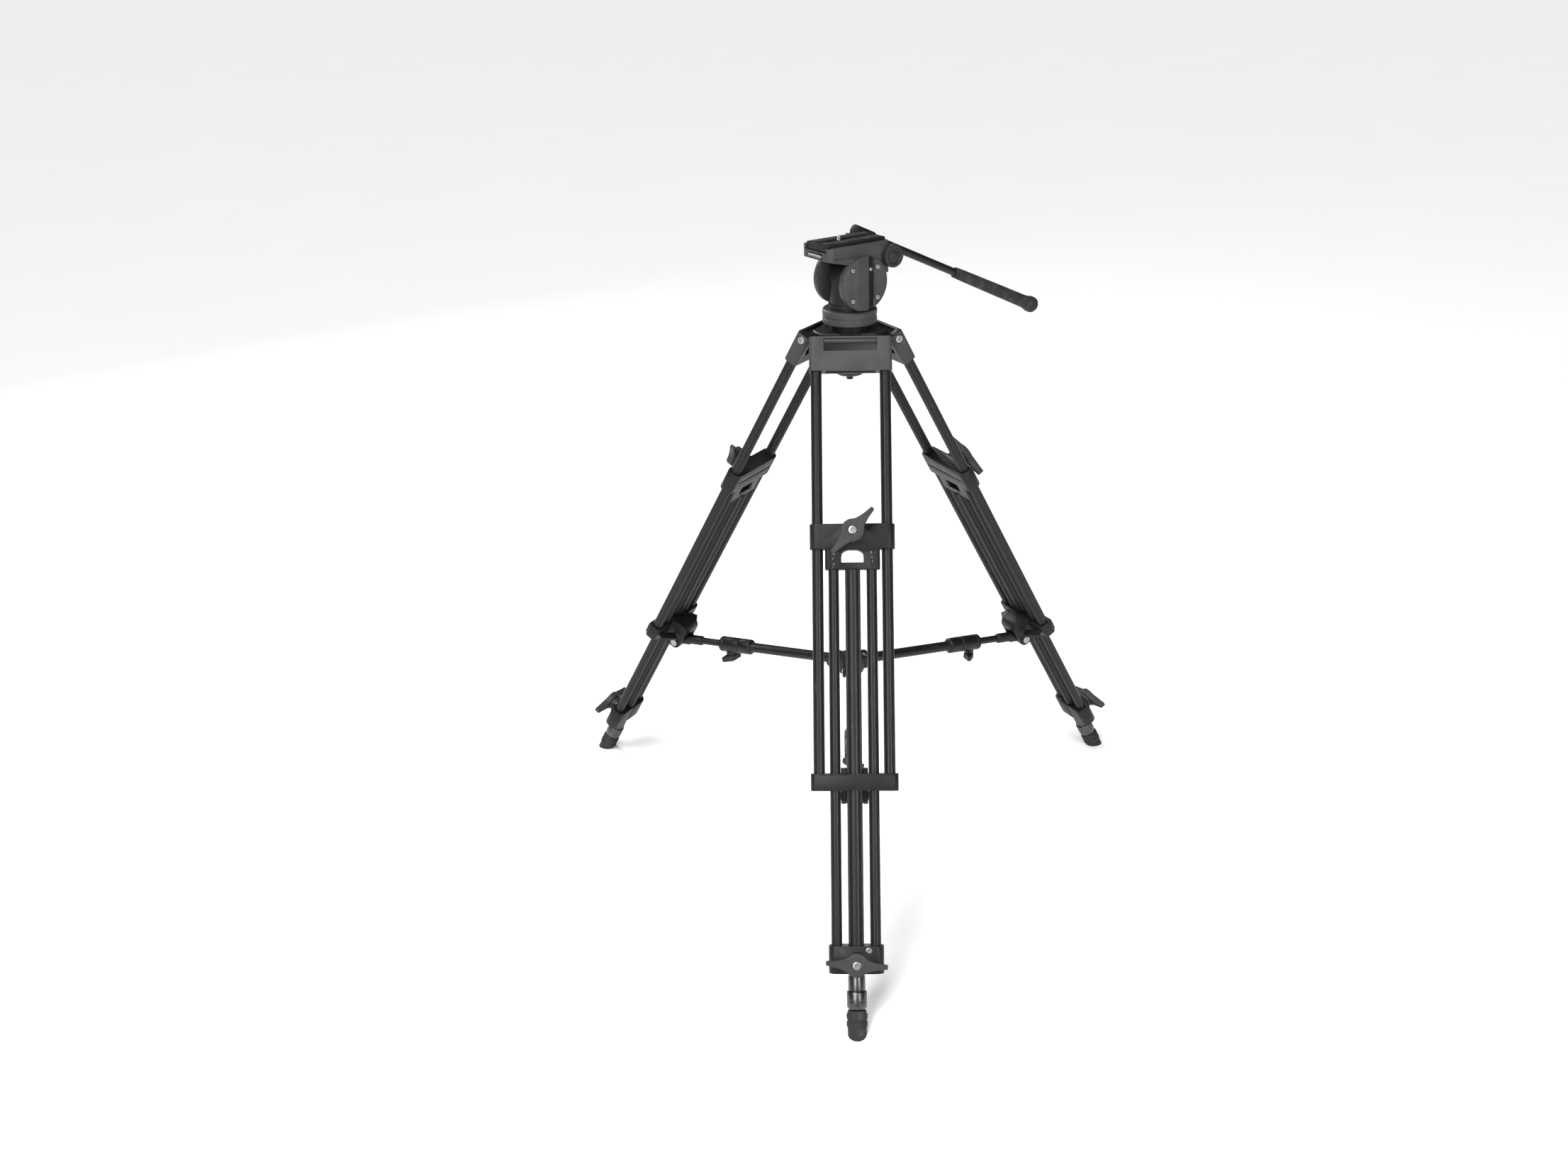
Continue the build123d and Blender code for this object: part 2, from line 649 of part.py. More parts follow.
def release_lever():
    """Flat release key low on the front of the platform."""
    with BuildPart() as key:
        block(55.6, 61.5, -15.8, 14.8, 121.6, 126.6)
        fillet(key.edges().filter_by(Axis.X), 1.2)
    return key.part


def side_knob():
    """Flat round knob at the near rear corner of the platform."""
    with BuildPart() as knob:
        rod_y(16.5, 36.5, 46, ROSETTE_X, ROSETTE_Z)
        with Locations(Location((ROSETTE_X, 41, ROSETTE_Z), (90, 0, 0))):
            with PolarLocations(17.6, 12):
                Cylinder(1.8, 30, mode=Mode.SUBTRACT)
        fillet(knob.edges().group_by(Axis.Y)[-1], 1)
        rod_y(11, 44.5, 50, ROSETTE_X, ROSETTE_Z, mode=Mode.SUBTRACT)
        rod_y(3.0, 20, 37, ROSETTE_X, ROSETTE_Z)
        rod_y(4.5, 44, 46.8, ROSETTE_X, ROSETTE_Z)
    return knob.part


# ---------------------------------------------------------------- pan bar
def bar_frame():
    """Frame on the bar's hinge: +X out along the bar, +Y away from the head, +Z across it."""
    drop = radians(BAR_DROP)
    return Plane(origin=(BAR_X, -36, BAR_Z), x_dir=(-cos(drop), 0, -sin(drop)),
                 z_dir=(-sin(drop), 0, cos(drop))).location


def bar_clamp():
    """Serrated disc and offset socket that hold the bar."""
    with BuildPart() as clamp:
        rod_y(15.5, 0.5, 18)
        block(-11, 23, 1, 17, 3, 15)
        rod_x(9, -12, 26, 9.7, 16.4)
        rod_x(6 + SEAT, -6, 27, 9.7, 16.4, mode=Mode.SUBTRACT)
        rod_y(3.0 + RUN, -3, 20, mode=Mode.SUBTRACT)
    return bar_frame() * clamp.part


def pan_bar():
    """Straight bar."""
    with BuildPart() as bar:
        rod_x(6, -6 + SEAT, 380, 9.7, 16.4)
        rod_x(4.6, 14, 381, 9.7, 16.4, mode=Mode.SUBTRACT)
    return bar_frame() * bar.part


def bar_grip():
    """Rubber grip with a swollen end."""
    with BuildPart() as grip:
        with BuildSketch(across(0, 9.7, 16.4)):
            with BuildLine():
                Polyline((203, 0), (203, 8.2), (240, 9), (372, 10.2))
                Spline((372, 10.2), (380, 12.6), (390, 12.8), (394, 9),
                       tangents=((1, 0), (-0.2, -1)))
                Polyline((394, 9), (394, 0), (203, 0))
            make_face()
        revolve(axis=Axis((0, 9.7, 16.4), (1, 0, 0)))
        rod_x(6 + SEAT, 200, 380 + SEAT, 9.7, 16.4, mode=Mode.SUBTRACT)
    return bar_frame() * grip.part


def bar_knob():
    """Knob that clamps the bar's serrated disc."""
    with BuildPart() as knob:
        rod_y(12, 18.5, 33)
        with Locations(Location((0, 26, 0), (90, 0, 0))):
            with PolarLocations(13.6, 8):
                Cylinder(3, 30, mode=Mode.SUBTRACT)
        fillet(knob.edges().group_by(Axis.Y)[-1], 1)
        rod_y(3.0, 1, 19)
    return bar_frame() * knob.part


def build_leg():
    """All pieces that every leg has."""
    save_leg_copies(yoke(), "yoke")
    save_leg_copies(upper_tubes(), "upper_tubes")
    save_leg_copies(mid_bracket() + lug_pin(), "mid_bracket")
    save_leg_copies(clamp_block(), "clamp_block")
    save_leg_copies(side_tubes(), "side_tubes")
    save_leg_copies(lower_lock(), "lower_lock")
    save_leg_copies(wing_knob(-20, 273, 47), "upper_knob")
    save_leg_copies(wing_knob(-21, 872.5, -4), "lower_knob")
    save_leg_copies(Compound([foot_tube(), foot_sleeve()]), "foot_tube")
    save_leg_copies(rubber_foot(), "rubber_foot")


def build_spreader():
    """Hub and the three telescopic arms."""
    save(Compound([spreader_hub(), hub_pins()]), "spreader_hub")
    save_arm_copies(arm_tube() + arm_collar(), "arm_tube")
    save_arm_copies(arm_knob(), "arm_knob")
    save_arm_copies(arm_rod(arm_location(0)[1]), "arm_rod")


def build_head():
    """Levelling base, panning body, tilting body and pan bar."""
    save(head(half_ball() + stud()), "half_ball")
    save(head(tie_down_cup()), "tie_down_cup")
    save(head(tie_down_knob()), "tie_down_knob")
    save(head(pan_base()), "pan_base")
    save(head(pan_body()), "pan_body")
    save(head(pan_lock()), "pan_lock")
    save(head(tilt_lock()), "tilt_lock")
    save(head(tilt_cradle()), "tilt_cradle")
    save(head(Compound([side_cover(1), side_cover(-1), cover_screws()])), "side_covers")
    save(head(quick_plate()), "quick_plate")
    save(head(plate_pads()), "plate_pads")
    save(head(camera_screw()), "camera_screw")
    save(head(release_lever()), "release_lever")
    save(head(side_knob()), "side_knob")
    save(head(bar_clamp()), "bar_clamp")
    save(head(pan_bar()), "pan_bar")
    save(head(bar_grip()), "bar_grip")
    save(head(bar_knob()), "bar_knob")


build_head()
build_spreader()
save(crown_casting(), "crown_casting")
save(hinge_bolts(), "hinge_bolts")
build_leg()
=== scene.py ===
# %% [markdown]
# # A tripod with a fluid head
#
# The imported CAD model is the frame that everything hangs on. It gives the place of every piece,
# the bodies that move and the joints between them. What is made here is the look: the small
# radii, the grips and knobs that are awkward in CAD, and a finish for each metal and plastic.

import json
from math import atan2, cos, pi, radians, sin

import bpy
from mathutils import Matrix, Vector


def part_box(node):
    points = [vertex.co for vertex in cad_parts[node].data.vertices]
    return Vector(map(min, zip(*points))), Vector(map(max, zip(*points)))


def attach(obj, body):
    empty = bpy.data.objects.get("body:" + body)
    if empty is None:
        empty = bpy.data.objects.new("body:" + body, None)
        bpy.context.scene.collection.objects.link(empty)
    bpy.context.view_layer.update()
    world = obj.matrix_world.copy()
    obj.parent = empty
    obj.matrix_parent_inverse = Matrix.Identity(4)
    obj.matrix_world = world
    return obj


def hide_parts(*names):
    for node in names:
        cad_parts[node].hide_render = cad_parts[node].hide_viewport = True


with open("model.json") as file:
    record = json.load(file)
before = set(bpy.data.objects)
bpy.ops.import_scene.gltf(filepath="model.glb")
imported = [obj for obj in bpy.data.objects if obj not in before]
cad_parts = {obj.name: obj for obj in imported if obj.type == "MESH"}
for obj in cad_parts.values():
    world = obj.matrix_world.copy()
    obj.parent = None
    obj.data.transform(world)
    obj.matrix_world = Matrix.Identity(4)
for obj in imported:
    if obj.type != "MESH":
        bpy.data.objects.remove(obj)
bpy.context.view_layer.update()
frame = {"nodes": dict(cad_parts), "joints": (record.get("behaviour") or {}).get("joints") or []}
nodes = frame["nodes"]
joints = {joint["name"]: joint for joint in frame["joints"]}
MM = 0.001
scene = bpy.context.scene
LEGS = ("front", "right", "left")
bpy.ops.object.select_all(action="DESELECT")

# %% [markdown]
# ## Local frames
#
# A leg leans 29 degrees, and the head is turned across the legs. It is easier to model each piece
# upright, around a simple origin, and to carry it to its place at the end. The frames come from
# the joints: a joint knows its anchor point and its axis, and two axes fix a frame.


# %% Frames of the legs, the arms, the head and the bar
def frame_at(origin, x_axis, z_axis):
    """Matrix of a frame from its origin, its X axis and a direction near its Z axis."""
    x = Vector(x_axis).normalized()
    z = Vector(z_axis)
    z = (z - z.dot(x) * x).normalized()
    turn = Matrix((x, z.cross(x), z)).transposed().to_4x4()
    return Matrix.Translation(origin) @ turn


def anchor(joint):
    """Anchor point of a joint."""
    return Vector(joints[joint]["pos_m"])


def axis(joint):
    """Direction of a joint's axis."""
    return Vector(joints[joint]["axis"])


leg_frames = {}
arm_frames = {}
for leg in LEGS:
    hinge = "spread" if leg == "front" else f"leg_hinge_{leg}"
    leg_frames[leg] = frame_at(anchor(hinge), -axis(hinge), -axis(f"stage_slide_{leg}"))
    arm_frames[leg] = frame_at(anchor(f"arm_hinge_{leg}"), axis(f"arm_slide_{leg}"), (0, 0, 1))
tilt_axis = axis("tilt")
TILT_HEIGHT = 82 * MM
head_origin = anchor("tilt") - Vector((0, 0, TILT_HEIGHT))
head_frame = frame_at(head_origin, tilt_axis.cross(Vector((0, 0, 1))), (0, 0, 1))
crown_axis = anchor("pan_turn")
low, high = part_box("bar_grip")
swing = axis("bar_swing")
for name, matrix in (("front leg", leg_frames["front"]), ("head", head_frame)):
    print(name, [[round(v, 4) for v in row] for row in matrix])
BAR_DROP = radians(24.8)
out = swing.cross(Vector((0, 0, 1))).normalized()
grip_side = (low + high) / 2 - anchor("bar_swing")
out = out if out.dot(grip_side) > 0 else -out
bar_out = out * cos(BAR_DROP) - Vector((0, 0, sin(BAR_DROP)))
bar_hinge = head_frame @ (Vector((-46, -36, 120)) * MM)
bar_frame = frame_at(bar_hinge, bar_out, Vector((0, 0, 1)))
print(f"bar hinge {(bar_hinge - anchor('bar_swing')).length / MM:.2f} mm from its joint")

# %% [markdown]
# ## Arithmetic on sockets
#
# A finish is a small calculation: this noise times that mask, plus a base value. Nodes wired one
# by one hide that. A class that wraps a socket and takes Python's own operators keeps the
# calculation readable, and every expression still becomes plain Math nodes that you can open in
# the shader editor.


# %% Sockets with arithmetic
class Wire:
    """One output socket of a material's nodes, with arithmetic on it."""

    def __init__(self, finish, socket):
        self.finish = finish
        self.socket = socket

    def math(self, operation, first, second):
        return self.finish.node("Math", {0: first, 1: second}, operation=operation)

    def __add__(self, other):
        return self.math("ADD", self, other)

    def __radd__(self, other):
        return self.math("ADD", other, self)

    def __sub__(self, other):
        return self.math("SUBTRACT", self, other)

    def __rsub__(self, other):
        return self.math("SUBTRACT", other, self)

    def __mul__(self, other):
        return self.math("MULTIPLY", self, other)

    def __rmul__(self, other):
        return self.math("MULTIPLY", other, self)

    def between(self, start, end):
        """0 below start, 1 above end, and a smooth step from one to the other."""
        return self.finish.node("MapRange", {0: self, 1: start, 2: end},
                                interpolation_type="SMOOTHSTEP", clamp=True)


class Finish:
    """A material whose patterns lie in a piece's own upright frame."""

    def __init__(self, name, matrix, **constants):
        self.material = bpy.data.materials.new(name)
        self.material.use_nodes = True
        self.tree = self.material.node_tree
        self.shader = self.tree.nodes["Principled BSDF"]
        for socket, value in constants.items():
            self.shader.inputs[socket.replace("_", " ")].default_value = value
        here = self.node("TexCoord", out="Object")
        self.place = self.node("Mapping", {"Vector": here, "Location": matrix.to_translation(),
                                           "Rotation": matrix.to_euler()}, vector_type="TEXTURE")

    def node(self, kind, inputs=None, out=0, **settings):
        """Add a node: settings first, then its sockets' values or links; returns one output."""
        node = self.tree.nodes.new("ShaderNode" + kind)
        for setting, value in settings.items():
            setattr(node, setting, value)
        for socket, value in (inputs or {}).items():
            if isinstance(value, Wire):
                self.tree.links.new(value.socket, node.inputs[socket])
            else:
                node.inputs[socket].default_value = value
        return Wire(self, node.outputs[out])

    def noise(self, size, stretch=(1, 1, 1), detail=3.0, contrast=0.5):
        """Noise whose patches are about that many metres across."""
        at = self.node("VectorMath", {0: self.place, 1: stretch}, operation="MULTIPLY")
        return self.node("TexNoise", {"Vector": at, "Scale": 1 / size, "Detail": detail,
                                      "Roughness": contrast})

    def blend(self, amount, first, second):
        """Mix of two colours."""
        return self.node("Mix", {0: amount, 6: first, 7: second}, out=2, data_type="RGBA")

    def edges(self, radius):
        """Mask of the outer and inner edges, from how far a rounded normal turns away."""
        soft = self.node("Bevel", {"Radius": radius}, samples=4)
        true = self.node("NewGeometry", out="Normal")
        facing = self.node("VectorMath", {0: soft, 1: true}, out="Value", operation="DOT_PRODUCT")
        return (1 - facing).between(0.02, 0.3)

    def feed(self, colour, roughness, height, depth, metallic=None, radius=0.0004):
        """Wire the results into the shader, with rounded edges under the bump."""
        soft = self.node("Bevel", {"Radius": radius}, samples=4)
        bump = self.node("Bump", {"Height": height, "Distance": depth, "Strength": 1.0,
                                  "Normal": soft})
        for socket, wire in (("Base Color", colour), ("Roughness", roughness), ("Normal", bump)):
            self.tree.links.new(wire.socket, self.shader.inputs[socket])
        if metallic is not None:
            self.tree.links.new(metallic.socket, self.shader.inputs["Metallic"])
        return self.material


def grey(value, tint=0.0):
    """Grey colour; a positive tint is cooler."""
    return (value, value, value * (1 + tint), 1.0)


# %% [markdown]
# ## Painted castings
#
# The crown, the yokes and the head are magnesium castings with a baked matt paint. Paint on a
# casting is never flat: it has a fine orange-peel skin, a slow drift in tone, a few hand marks
# that are glossier, and a little bright metal where edges have rubbed. Each of these is one noise
# or one mask, and each moves colour, roughness or bump by a small amount.


# %% Painted and moulded finishes
def painted_casting(name, matrix, dark, light, gloss):
    """Matt baked paint on a casting."""
    paint = Finish(name, matrix, Specular_IOR_Level=0.2)
    drift = paint.noise(0.045, detail=2.0)
    skin = paint.noise(0.0011, detail=2.0)
    touch = paint.noise(0.018, detail=4.0, contrast=0.6).between(0.5, 0.72)
    chips = paint.noise(0.004, detail=3.0).between(0.5, 0.62)
    worn = paint.edges(0.0009) * chips
    colour = paint.blend(drift.between(0.3, 0.7), grey(dark, 0.04), grey(light, 0.04))
    colour = paint.blend(skin * 0.35, colour, grey(light * 1.5, 0.05))
    colour = paint.blend(worn * 0.55, colour, grey(0.34, 0.02))
    roughness = gloss + 0.1 * drift + 0.12 * skin - 0.09 * touch - 0.08 * worn
    return paint.feed(colour, roughness, skin, 0.00012, metallic=worn * 0.6)


def moulded_plastic(name, matrix, dark, light):
    """Glass-filled nylon with a fine spark-eroded grain."""
    plastic = Finish(name, matrix, Specular_IOR_Level=0.35)
    grain = plastic.noise(0.0007, detail=2.0)
    pits = plastic.node("TexVoronoi", {"Vector": plastic.place, "Scale": 1500.0}, out="Distance")
    handled = plastic.noise(0.012, detail=3.0).between(0.45, 0.7)
    colour = plastic.blend(grain.between(0.35, 0.65), grey(dark), grey(light))
    colour = plastic.blend(plastic.edges(0.0008) * 0.5, colour, grey(light * 2.2))
    roughness = 0.46 + 0.14 * grain - 0.12 * handled
    return plastic.feed(colour, roughness, grain + 0.4 * pits, 0.00008, radius=0.0006)


# %% [markdown]
# ## Black anodised tubes
#
# The tubes are drawn aluminium, anodised black. Drawing leaves very fine lines along the tube,
# which pull the highlight out into long stripes, and a clamp that slides on a tube leaves short
# bright rubs along it. Both patterns are the same noise, stretched along the tube's own axis.
# Stretching a texture means making its coordinate change slowly in that direction.


# %% Metal finishes
def anodised_tube(name, matrix, along, tone):
    """Drawn, black anodised aluminium; along is the frame axis that the tube follows."""
    tube = Finish(name, matrix, Specular_IOR_Level=0.35)
    lines = [1.0, 1.0, 1.0]
    lines[along] = 0.012
    rubs = [1.0, 1.0, 1.0]
    rubs[along] = 0.06
    draw = tube.noise(0.0007, tuple(lines), detail=3.0)
    rub = tube.noise(0.0022, tuple(rubs), detail=4.0, contrast=0.65).between(0.62, 0.74)
    cloud = tube.noise(0.06, detail=3.0)
    colour = tube.blend(draw.between(0.3, 0.7), grey(tone), grey(tone * 1.9, 0.06))
    colour = tube.blend(rub * 0.35, colour, grey(0.16, 0.03))
    colour = tube.blend(tube.edges(0.0005) * 0.3, colour, grey(0.22, 0.02))
    roughness = 0.27 + 0.1 * draw + 0.09 * cloud + 0.1 * rub
    return tube.feed(colour, roughness, draw, 0.00003, metallic=0.35 + 0.3 * rub, radius=0.0003)


def turned_steel(name, matrix, tone):
    """Zinc-plated steel, with the rings of the lathe and a little tarnish."""
    steel = Finish(name, matrix)
    rings = steel.noise(0.0005, detail=2.0)
    tarnish = steel.noise(0.006, detail=4.0, contrast=0.6)
    spots = steel.noise(0.0016, detail=2.0).between(0.66, 0.75)
    colour = steel.blend(tarnish.between(0.3, 0.7), grey(tone, 0.02), grey(tone * 0.78, 0.05))
    colour = steel.blend(spots * 0.4, colour, (0.22, 0.19, 0.16, 1.0))
    roughness = 0.2 + 0.14 * rings + 0.12 * tarnish + 0.15 * spots
    return steel.feed(colour, roughness, rings, 0.00002, metallic=1.0 - 0.4 * spots)


def rubber(name, matrix, tone, dust):
    """Soft black rubber; dust lies in its pores and in patches."""
    soft = Finish(name, matrix, Specular_IOR_Level=0.25)
    pores = soft.noise(0.0009, detail=3.0)
    bloom = soft.noise(0.014, detail=4.0, contrast=0.6)
    colour = soft.blend(pores.between(0.35, 0.7), grey(tone * 0.8), grey(tone * 1.5))
    colour = soft.blend(bloom.between(0.45, 0.75) * dust, colour, (0.11, 0.105, 0.095, 1.0))
    roughness = 0.62 + 0.18 * pores + 0.12 * bloom
    return soft.feed(colour, roughness, pores, 0.00022, radius=0.0007)


# %% Finishes of every part of the tripod
finishes = {}


def finish(kind, place="row"):
    """Finish of one kind, laid in the frame of a leg, an arm, the head or the bar."""
    key = f"{kind}_{place}"
    if key in finishes:
        return finishes[key]
    group, _, leg = place.partition(".")
    matrix = {"leg": leg_frames.get(leg), "arm": arm_frames.get(leg), "head": head_frame,
              "bar": bar_frame, "row": Matrix.Translation(head_origin)}[group]
    along = 0 if group in ("arm", "bar") else 2
    makers = {
        "grey_casting": lambda: painted_casting(key, matrix, 0.026, 0.04, 0.36),
        "black_casting": lambda: painted_casting(key, matrix, 0.0045, 0.0085, 0.34),
        "black_tube": lambda: anodised_tube(key, matrix, along, 0.007),
        "bright_tube": lambda: turned_steel(key, matrix, 0.09),
        "cast_knob": lambda: painted_casting(key, matrix, 0.02, 0.03, 0.36),
        "black_plastic": lambda: moulded_plastic(key, matrix, 0.007, 0.012),
        "rubber": lambda: rubber(key, matrix, 0.016, 0.3),
        "steel": lambda: turned_steel(key, matrix, 0.36),
    }
    finishes[key] = makers[kind]()
    return finishes[key]


def coat(obj, kind, place="row"):
    """Give an object one finish all over."""
    obj.data.materials.clear()
    obj.data.materials.append(finish(kind, place))


node_finish = {
    "crown_casting": "black_casting", "hinge_bolts": "steel", "spreader_hub": "black_casting",
    "half_ball": "black_casting", "tie_down_cup": "black_casting",
    "tie_down_knob": "black_plastic", "pan_base": "grey_casting", "pan_body": "black_casting",
    "pan_lock": "black_plastic", "tilt_lock": "black_plastic", "tilt_cradle": "grey_casting",
    "side_covers": "grey_casting", "quick_plate": "black_casting", "plate_pads": "rubber",
    "camera_screw": "steel", "release_lever": "steel", "side_knob": "black_plastic",
    "bar_clamp": "black_casting", "pan_bar": "black_tube", "bar_grip": "rubber",
    "bar_knob": "black_plastic",
}
leg_finish = {
    "yoke": "grey_casting", "upper_tubes": "black_tube", "mid_bracket": "black_casting",
    "clamp_block": "black_casting", "side_tubes": "black_tube", "lower_lock": "black_casting",
    "upper_knob": "black_plastic", "lower_knob": "black_plastic", "foot_tube": "black_tube",
    "rubber_foot": "rubber",
}
arm_finish = {"arm_tube": "black_tube", "arm_knob": "black_plastic", "arm_rod": "black_tube"}
for node, kind in node_finish.items():
    coat(nodes[node], kind, "bar" if node.startswith(("bar", "pan_bar")) else "head")
for leg in LEGS:
    for piece, kind in leg_finish.items():
        coat(nodes[f"{piece}_{leg}"], kind, f"leg.{leg}")
    for piece, kind in arm_finish.items():
        coat(nodes[f"{piece}_{leg}"], kind, f"arm.{leg}")
print(f"{len(finishes)} finishes on {len(nodes)} nodes")

# %% [markdown]
# ## Bench tools
#
# Modelling by hand in Blender is a short list of moves: add a primitive at its size and place,
# select some of its faces or edges, extrude, inset or bevel them, and cut shapes out of each
# other with a Boolean modifier. These helpers are those moves, in millimetres. Selection is done
# by a test on each face, because in a script nobody can click.


# %% Primitives and modifiers
def added(name):
    """Name the primitive that was just added, and put its place into its mesh."""
    obj = bpy.context.object
    obj.name = name
    bpy.ops.object.transform_apply(location=True, rotation=True, scale=True)
    return obj


def slab(low, high, name="slab"):
    """Box between two corners."""
    low, high = Vector(low) * MM, Vector(high) * MM
    bpy.ops.mesh.primitive_cube_add(size=1, location=(low + high) / 2, scale=high - low)
    return added(name)


def rod(radius, start, end, sides=64, name="rod"):
    """Round bar between two points."""
    start, end = Vector(start) * MM, Vector(end) * MM
    run = end - start
    bpy.ops.mesh.primitive_cylinder_add(vertices=sides, radius=radius * MM, depth=run.length,
                                        location=(start + end) / 2,
                                        rotation=run.to_track_quat("Z", "Y").to_euler())
    return added(name)


def modify(obj, kind, **settings):
    """Add a modifier, set it up and apply it."""
    bpy.ops.object.select_all(action="DESELECT")
    obj.select_set(True)
    bpy.context.view_layer.objects.active = obj
    modifier = obj.modifiers.new(kind, kind)
    for setting, value in settings.items():
        setattr(modifier, setting, value)
    bpy.ops.object.modifier_apply(modifier=modifier.name)
    return obj


def combine(obj, tools, operation):
    """Boolean with each tool in turn; the tools are used up."""
    for tool in tools:
        modify(obj, "BOOLEAN", object=tool, operation=operation, solver="EXACT")
        bpy.data.objects.remove(tool)
    return obj


def cut(obj, *tools):
    return combine(obj, tools, "DIFFERENCE")


def weld(obj, *tools):
    return combine(obj, tools, "UNION")


def soften(obj, width, segments=2, angle=35):
    """Small radius on every edge that is sharper than the angle."""
    return modify(obj, "BEVEL", width=width * MM, segments=segments, limit_method="ANGLE",
                  angle_limit=radians(angle), use_clamp_overlap=False, miter_outer="MITER_ARC")


def pick(obj, test, kind="FACE"):
    """Go to edit mode with only the faces or edges that pass a test selected."""
    bpy.context.view_layer.objects.active = obj
    bpy.ops.object.mode_set(mode="EDIT")
    bpy.ops.mesh.select_mode(type=kind)
    bpy.ops.mesh.select_all(action="DESELECT")
    bpy.ops.object.mode_set(mode="OBJECT")
    mesh = obj.data
    if kind == "FACE":
        for face in mesh.polygons:
            face.select = test(face.center / MM, face.normal)
    else:
        for edge in mesh.edges:
            ends = [mesh.vertices[i].co / MM for i in edge.vertices]
            edge.select = test(*ends)
    bpy.ops.object.mode_set(mode="EDIT")


def round_edges(obj, test, width, segments=4):
    """Bevel the edges whose two ends pass a test."""
    pick(obj, test, "EDGE")
    bpy.ops.mesh.bevel(offset=width * MM, segments=segments, affect="EDGES")
    bpy.ops.object.mode_set(mode="OBJECT")
    return obj


def upright(a, b):
    """Whether an edge runs along Z."""
    return abs(a.x - b.x) < 0.01 and abs(a.y - b.y) < 0.01 and abs(a.z - b.z) > 1


def lathe(profile, name):
    """Turn a profile of (distance along X, radius) points about the X axis."""
    bpy.ops.mesh.primitive_plane_add(size=0.001)
    obj = added(name)
    bpy.ops.object.mode_set(mode="EDIT")
    bpy.ops.mesh.select_mode(type="VERT")
    bpy.ops.mesh.select_all(action="SELECT")
    bpy.ops.mesh.merge(type="CENTER")
    x, radius = profile[0]
    bpy.ops.transform.translate(value=(x * MM, 0, radius * MM))
    for (x0, r0), (x1, r1) in zip(profile, profile[1:]):
        step = ((x1 - x0) * MM, 0, (r1 - r0) * MM)
        bpy.ops.mesh.extrude_vertices_move(TRANSFORM_OT_translate={"value": step})
    bpy.ops.mesh.select_all(action="SELECT")
    bpy.ops.mesh.spin(steps=64, angle=2 * pi, center=(0, 0, 0), axis=(1, 0, 0))
    bpy.ops.mesh.select_all(action="SELECT")
    bpy.ops.mesh.remove_doubles(threshold=1e-6)
    bpy.ops.mesh.normals_make_consistent(inside=False)
    bpy.ops.object.mode_set(mode="OBJECT")
    return obj


def join(*objs):
    """Make one object of several that stay separate shells."""
    bpy.ops.object.select_all(action="DESELECT")
    for obj in objs:
        obj.select_set(True)
    bpy.context.view_layer.objects.active = objs[0]
    bpy.ops.object.join()
    return objs[0]


def smooth(obj, angle=35):
    """Smooth shading that keeps the sharp edges."""
    bpy.ops.object.select_all(action="DESELECT")
    obj.select_set(True)
    bpy.context.view_layer.objects.active = obj
    bpy.ops.object.shade_smooth_by_angle(angle=radians(angle))


def settle(obj, matrix, body, kind, place, *replaced):
    """Carry a piece from its upright frame to its place, and give it to its body."""
    smooth(obj)
    obj.data.transform(matrix)
    coat(obj, kind, place)
    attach(obj, body)
    if replaced:
        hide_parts(*replaced)
    print(f"{obj.name}: {len(obj.data.polygons)} faces on {body}")


def paint_pocket_shade(obj, matrix, place, sunk):
    """Give black paint, as painted shade, to the faces whose middle, in the piece's own frame, lies in a pocket.
    """
    obj.data.materials.append(finish("black_casting", place))
    own = matrix.inverted()
    for face in obj.data.polygons:
        if sunk(own @ face.center / MM):
            face.material_index = 1


def on_every_leg(obj, body, kind, node=None, frames=None):
    """Copy a piece to the three legs, or to the three spreader arms."""
    group = "arm" if frames is arm_frames else "leg"
    name = obj.name
    obj.name = f"{name}_pattern"
    for leg in LEGS:
        copy = obj.copy()
        copy.data = obj.data.copy()
        copy.name = f"{name}_{leg}"
        scene.collection.objects.link(copy)
        replaced = [f"{node}_{leg}"] if node else []
        settle(copy, (frames or leg_frames)[leg], f"{body}_{leg}", kind, f"{group}.{leg}",
               *replaced)
    bpy.data.objects.remove(obj)


# %% [markdown]
# ## Wing knobs
#
# Each leg clamp is tightened by a die-cast lever with two wings that grow out of a round hub. It
# could be drawn as an outline and extruded, but then the wings would be flat plates. Pulling the
# side faces of a cylinder outwards, step by step, and narrowing each step gives wings that swell
# out of the hub, and a subdivision surface rounds it all. The silver socket screw in the middle
# is a turned head with a hexagon cut into it.


# %% Wing knob and its screw
def wing(knob, way):
    """Pull the side faces of the hub out into one wing."""
    pick(knob, lambda at, normal: normal.x * way > 0.8)
    for reach, narrow, flat, thin in ((6, 0.74, 0.4, 1.0), (7, 0.72, 0.5, 0.94),
                                      (8, 0.76, 0.6, 0.92), (6.5, 0.86, 0.8, 0.94)):
        bpy.ops.mesh.extrude_region_move(TRANSFORM_OT_translate={"value": (way * reach * MM, 0, 0)})
        bpy.ops.transform.resize(value=(flat, thin, narrow))
    bpy.ops.object.mode_set(mode="OBJECT")


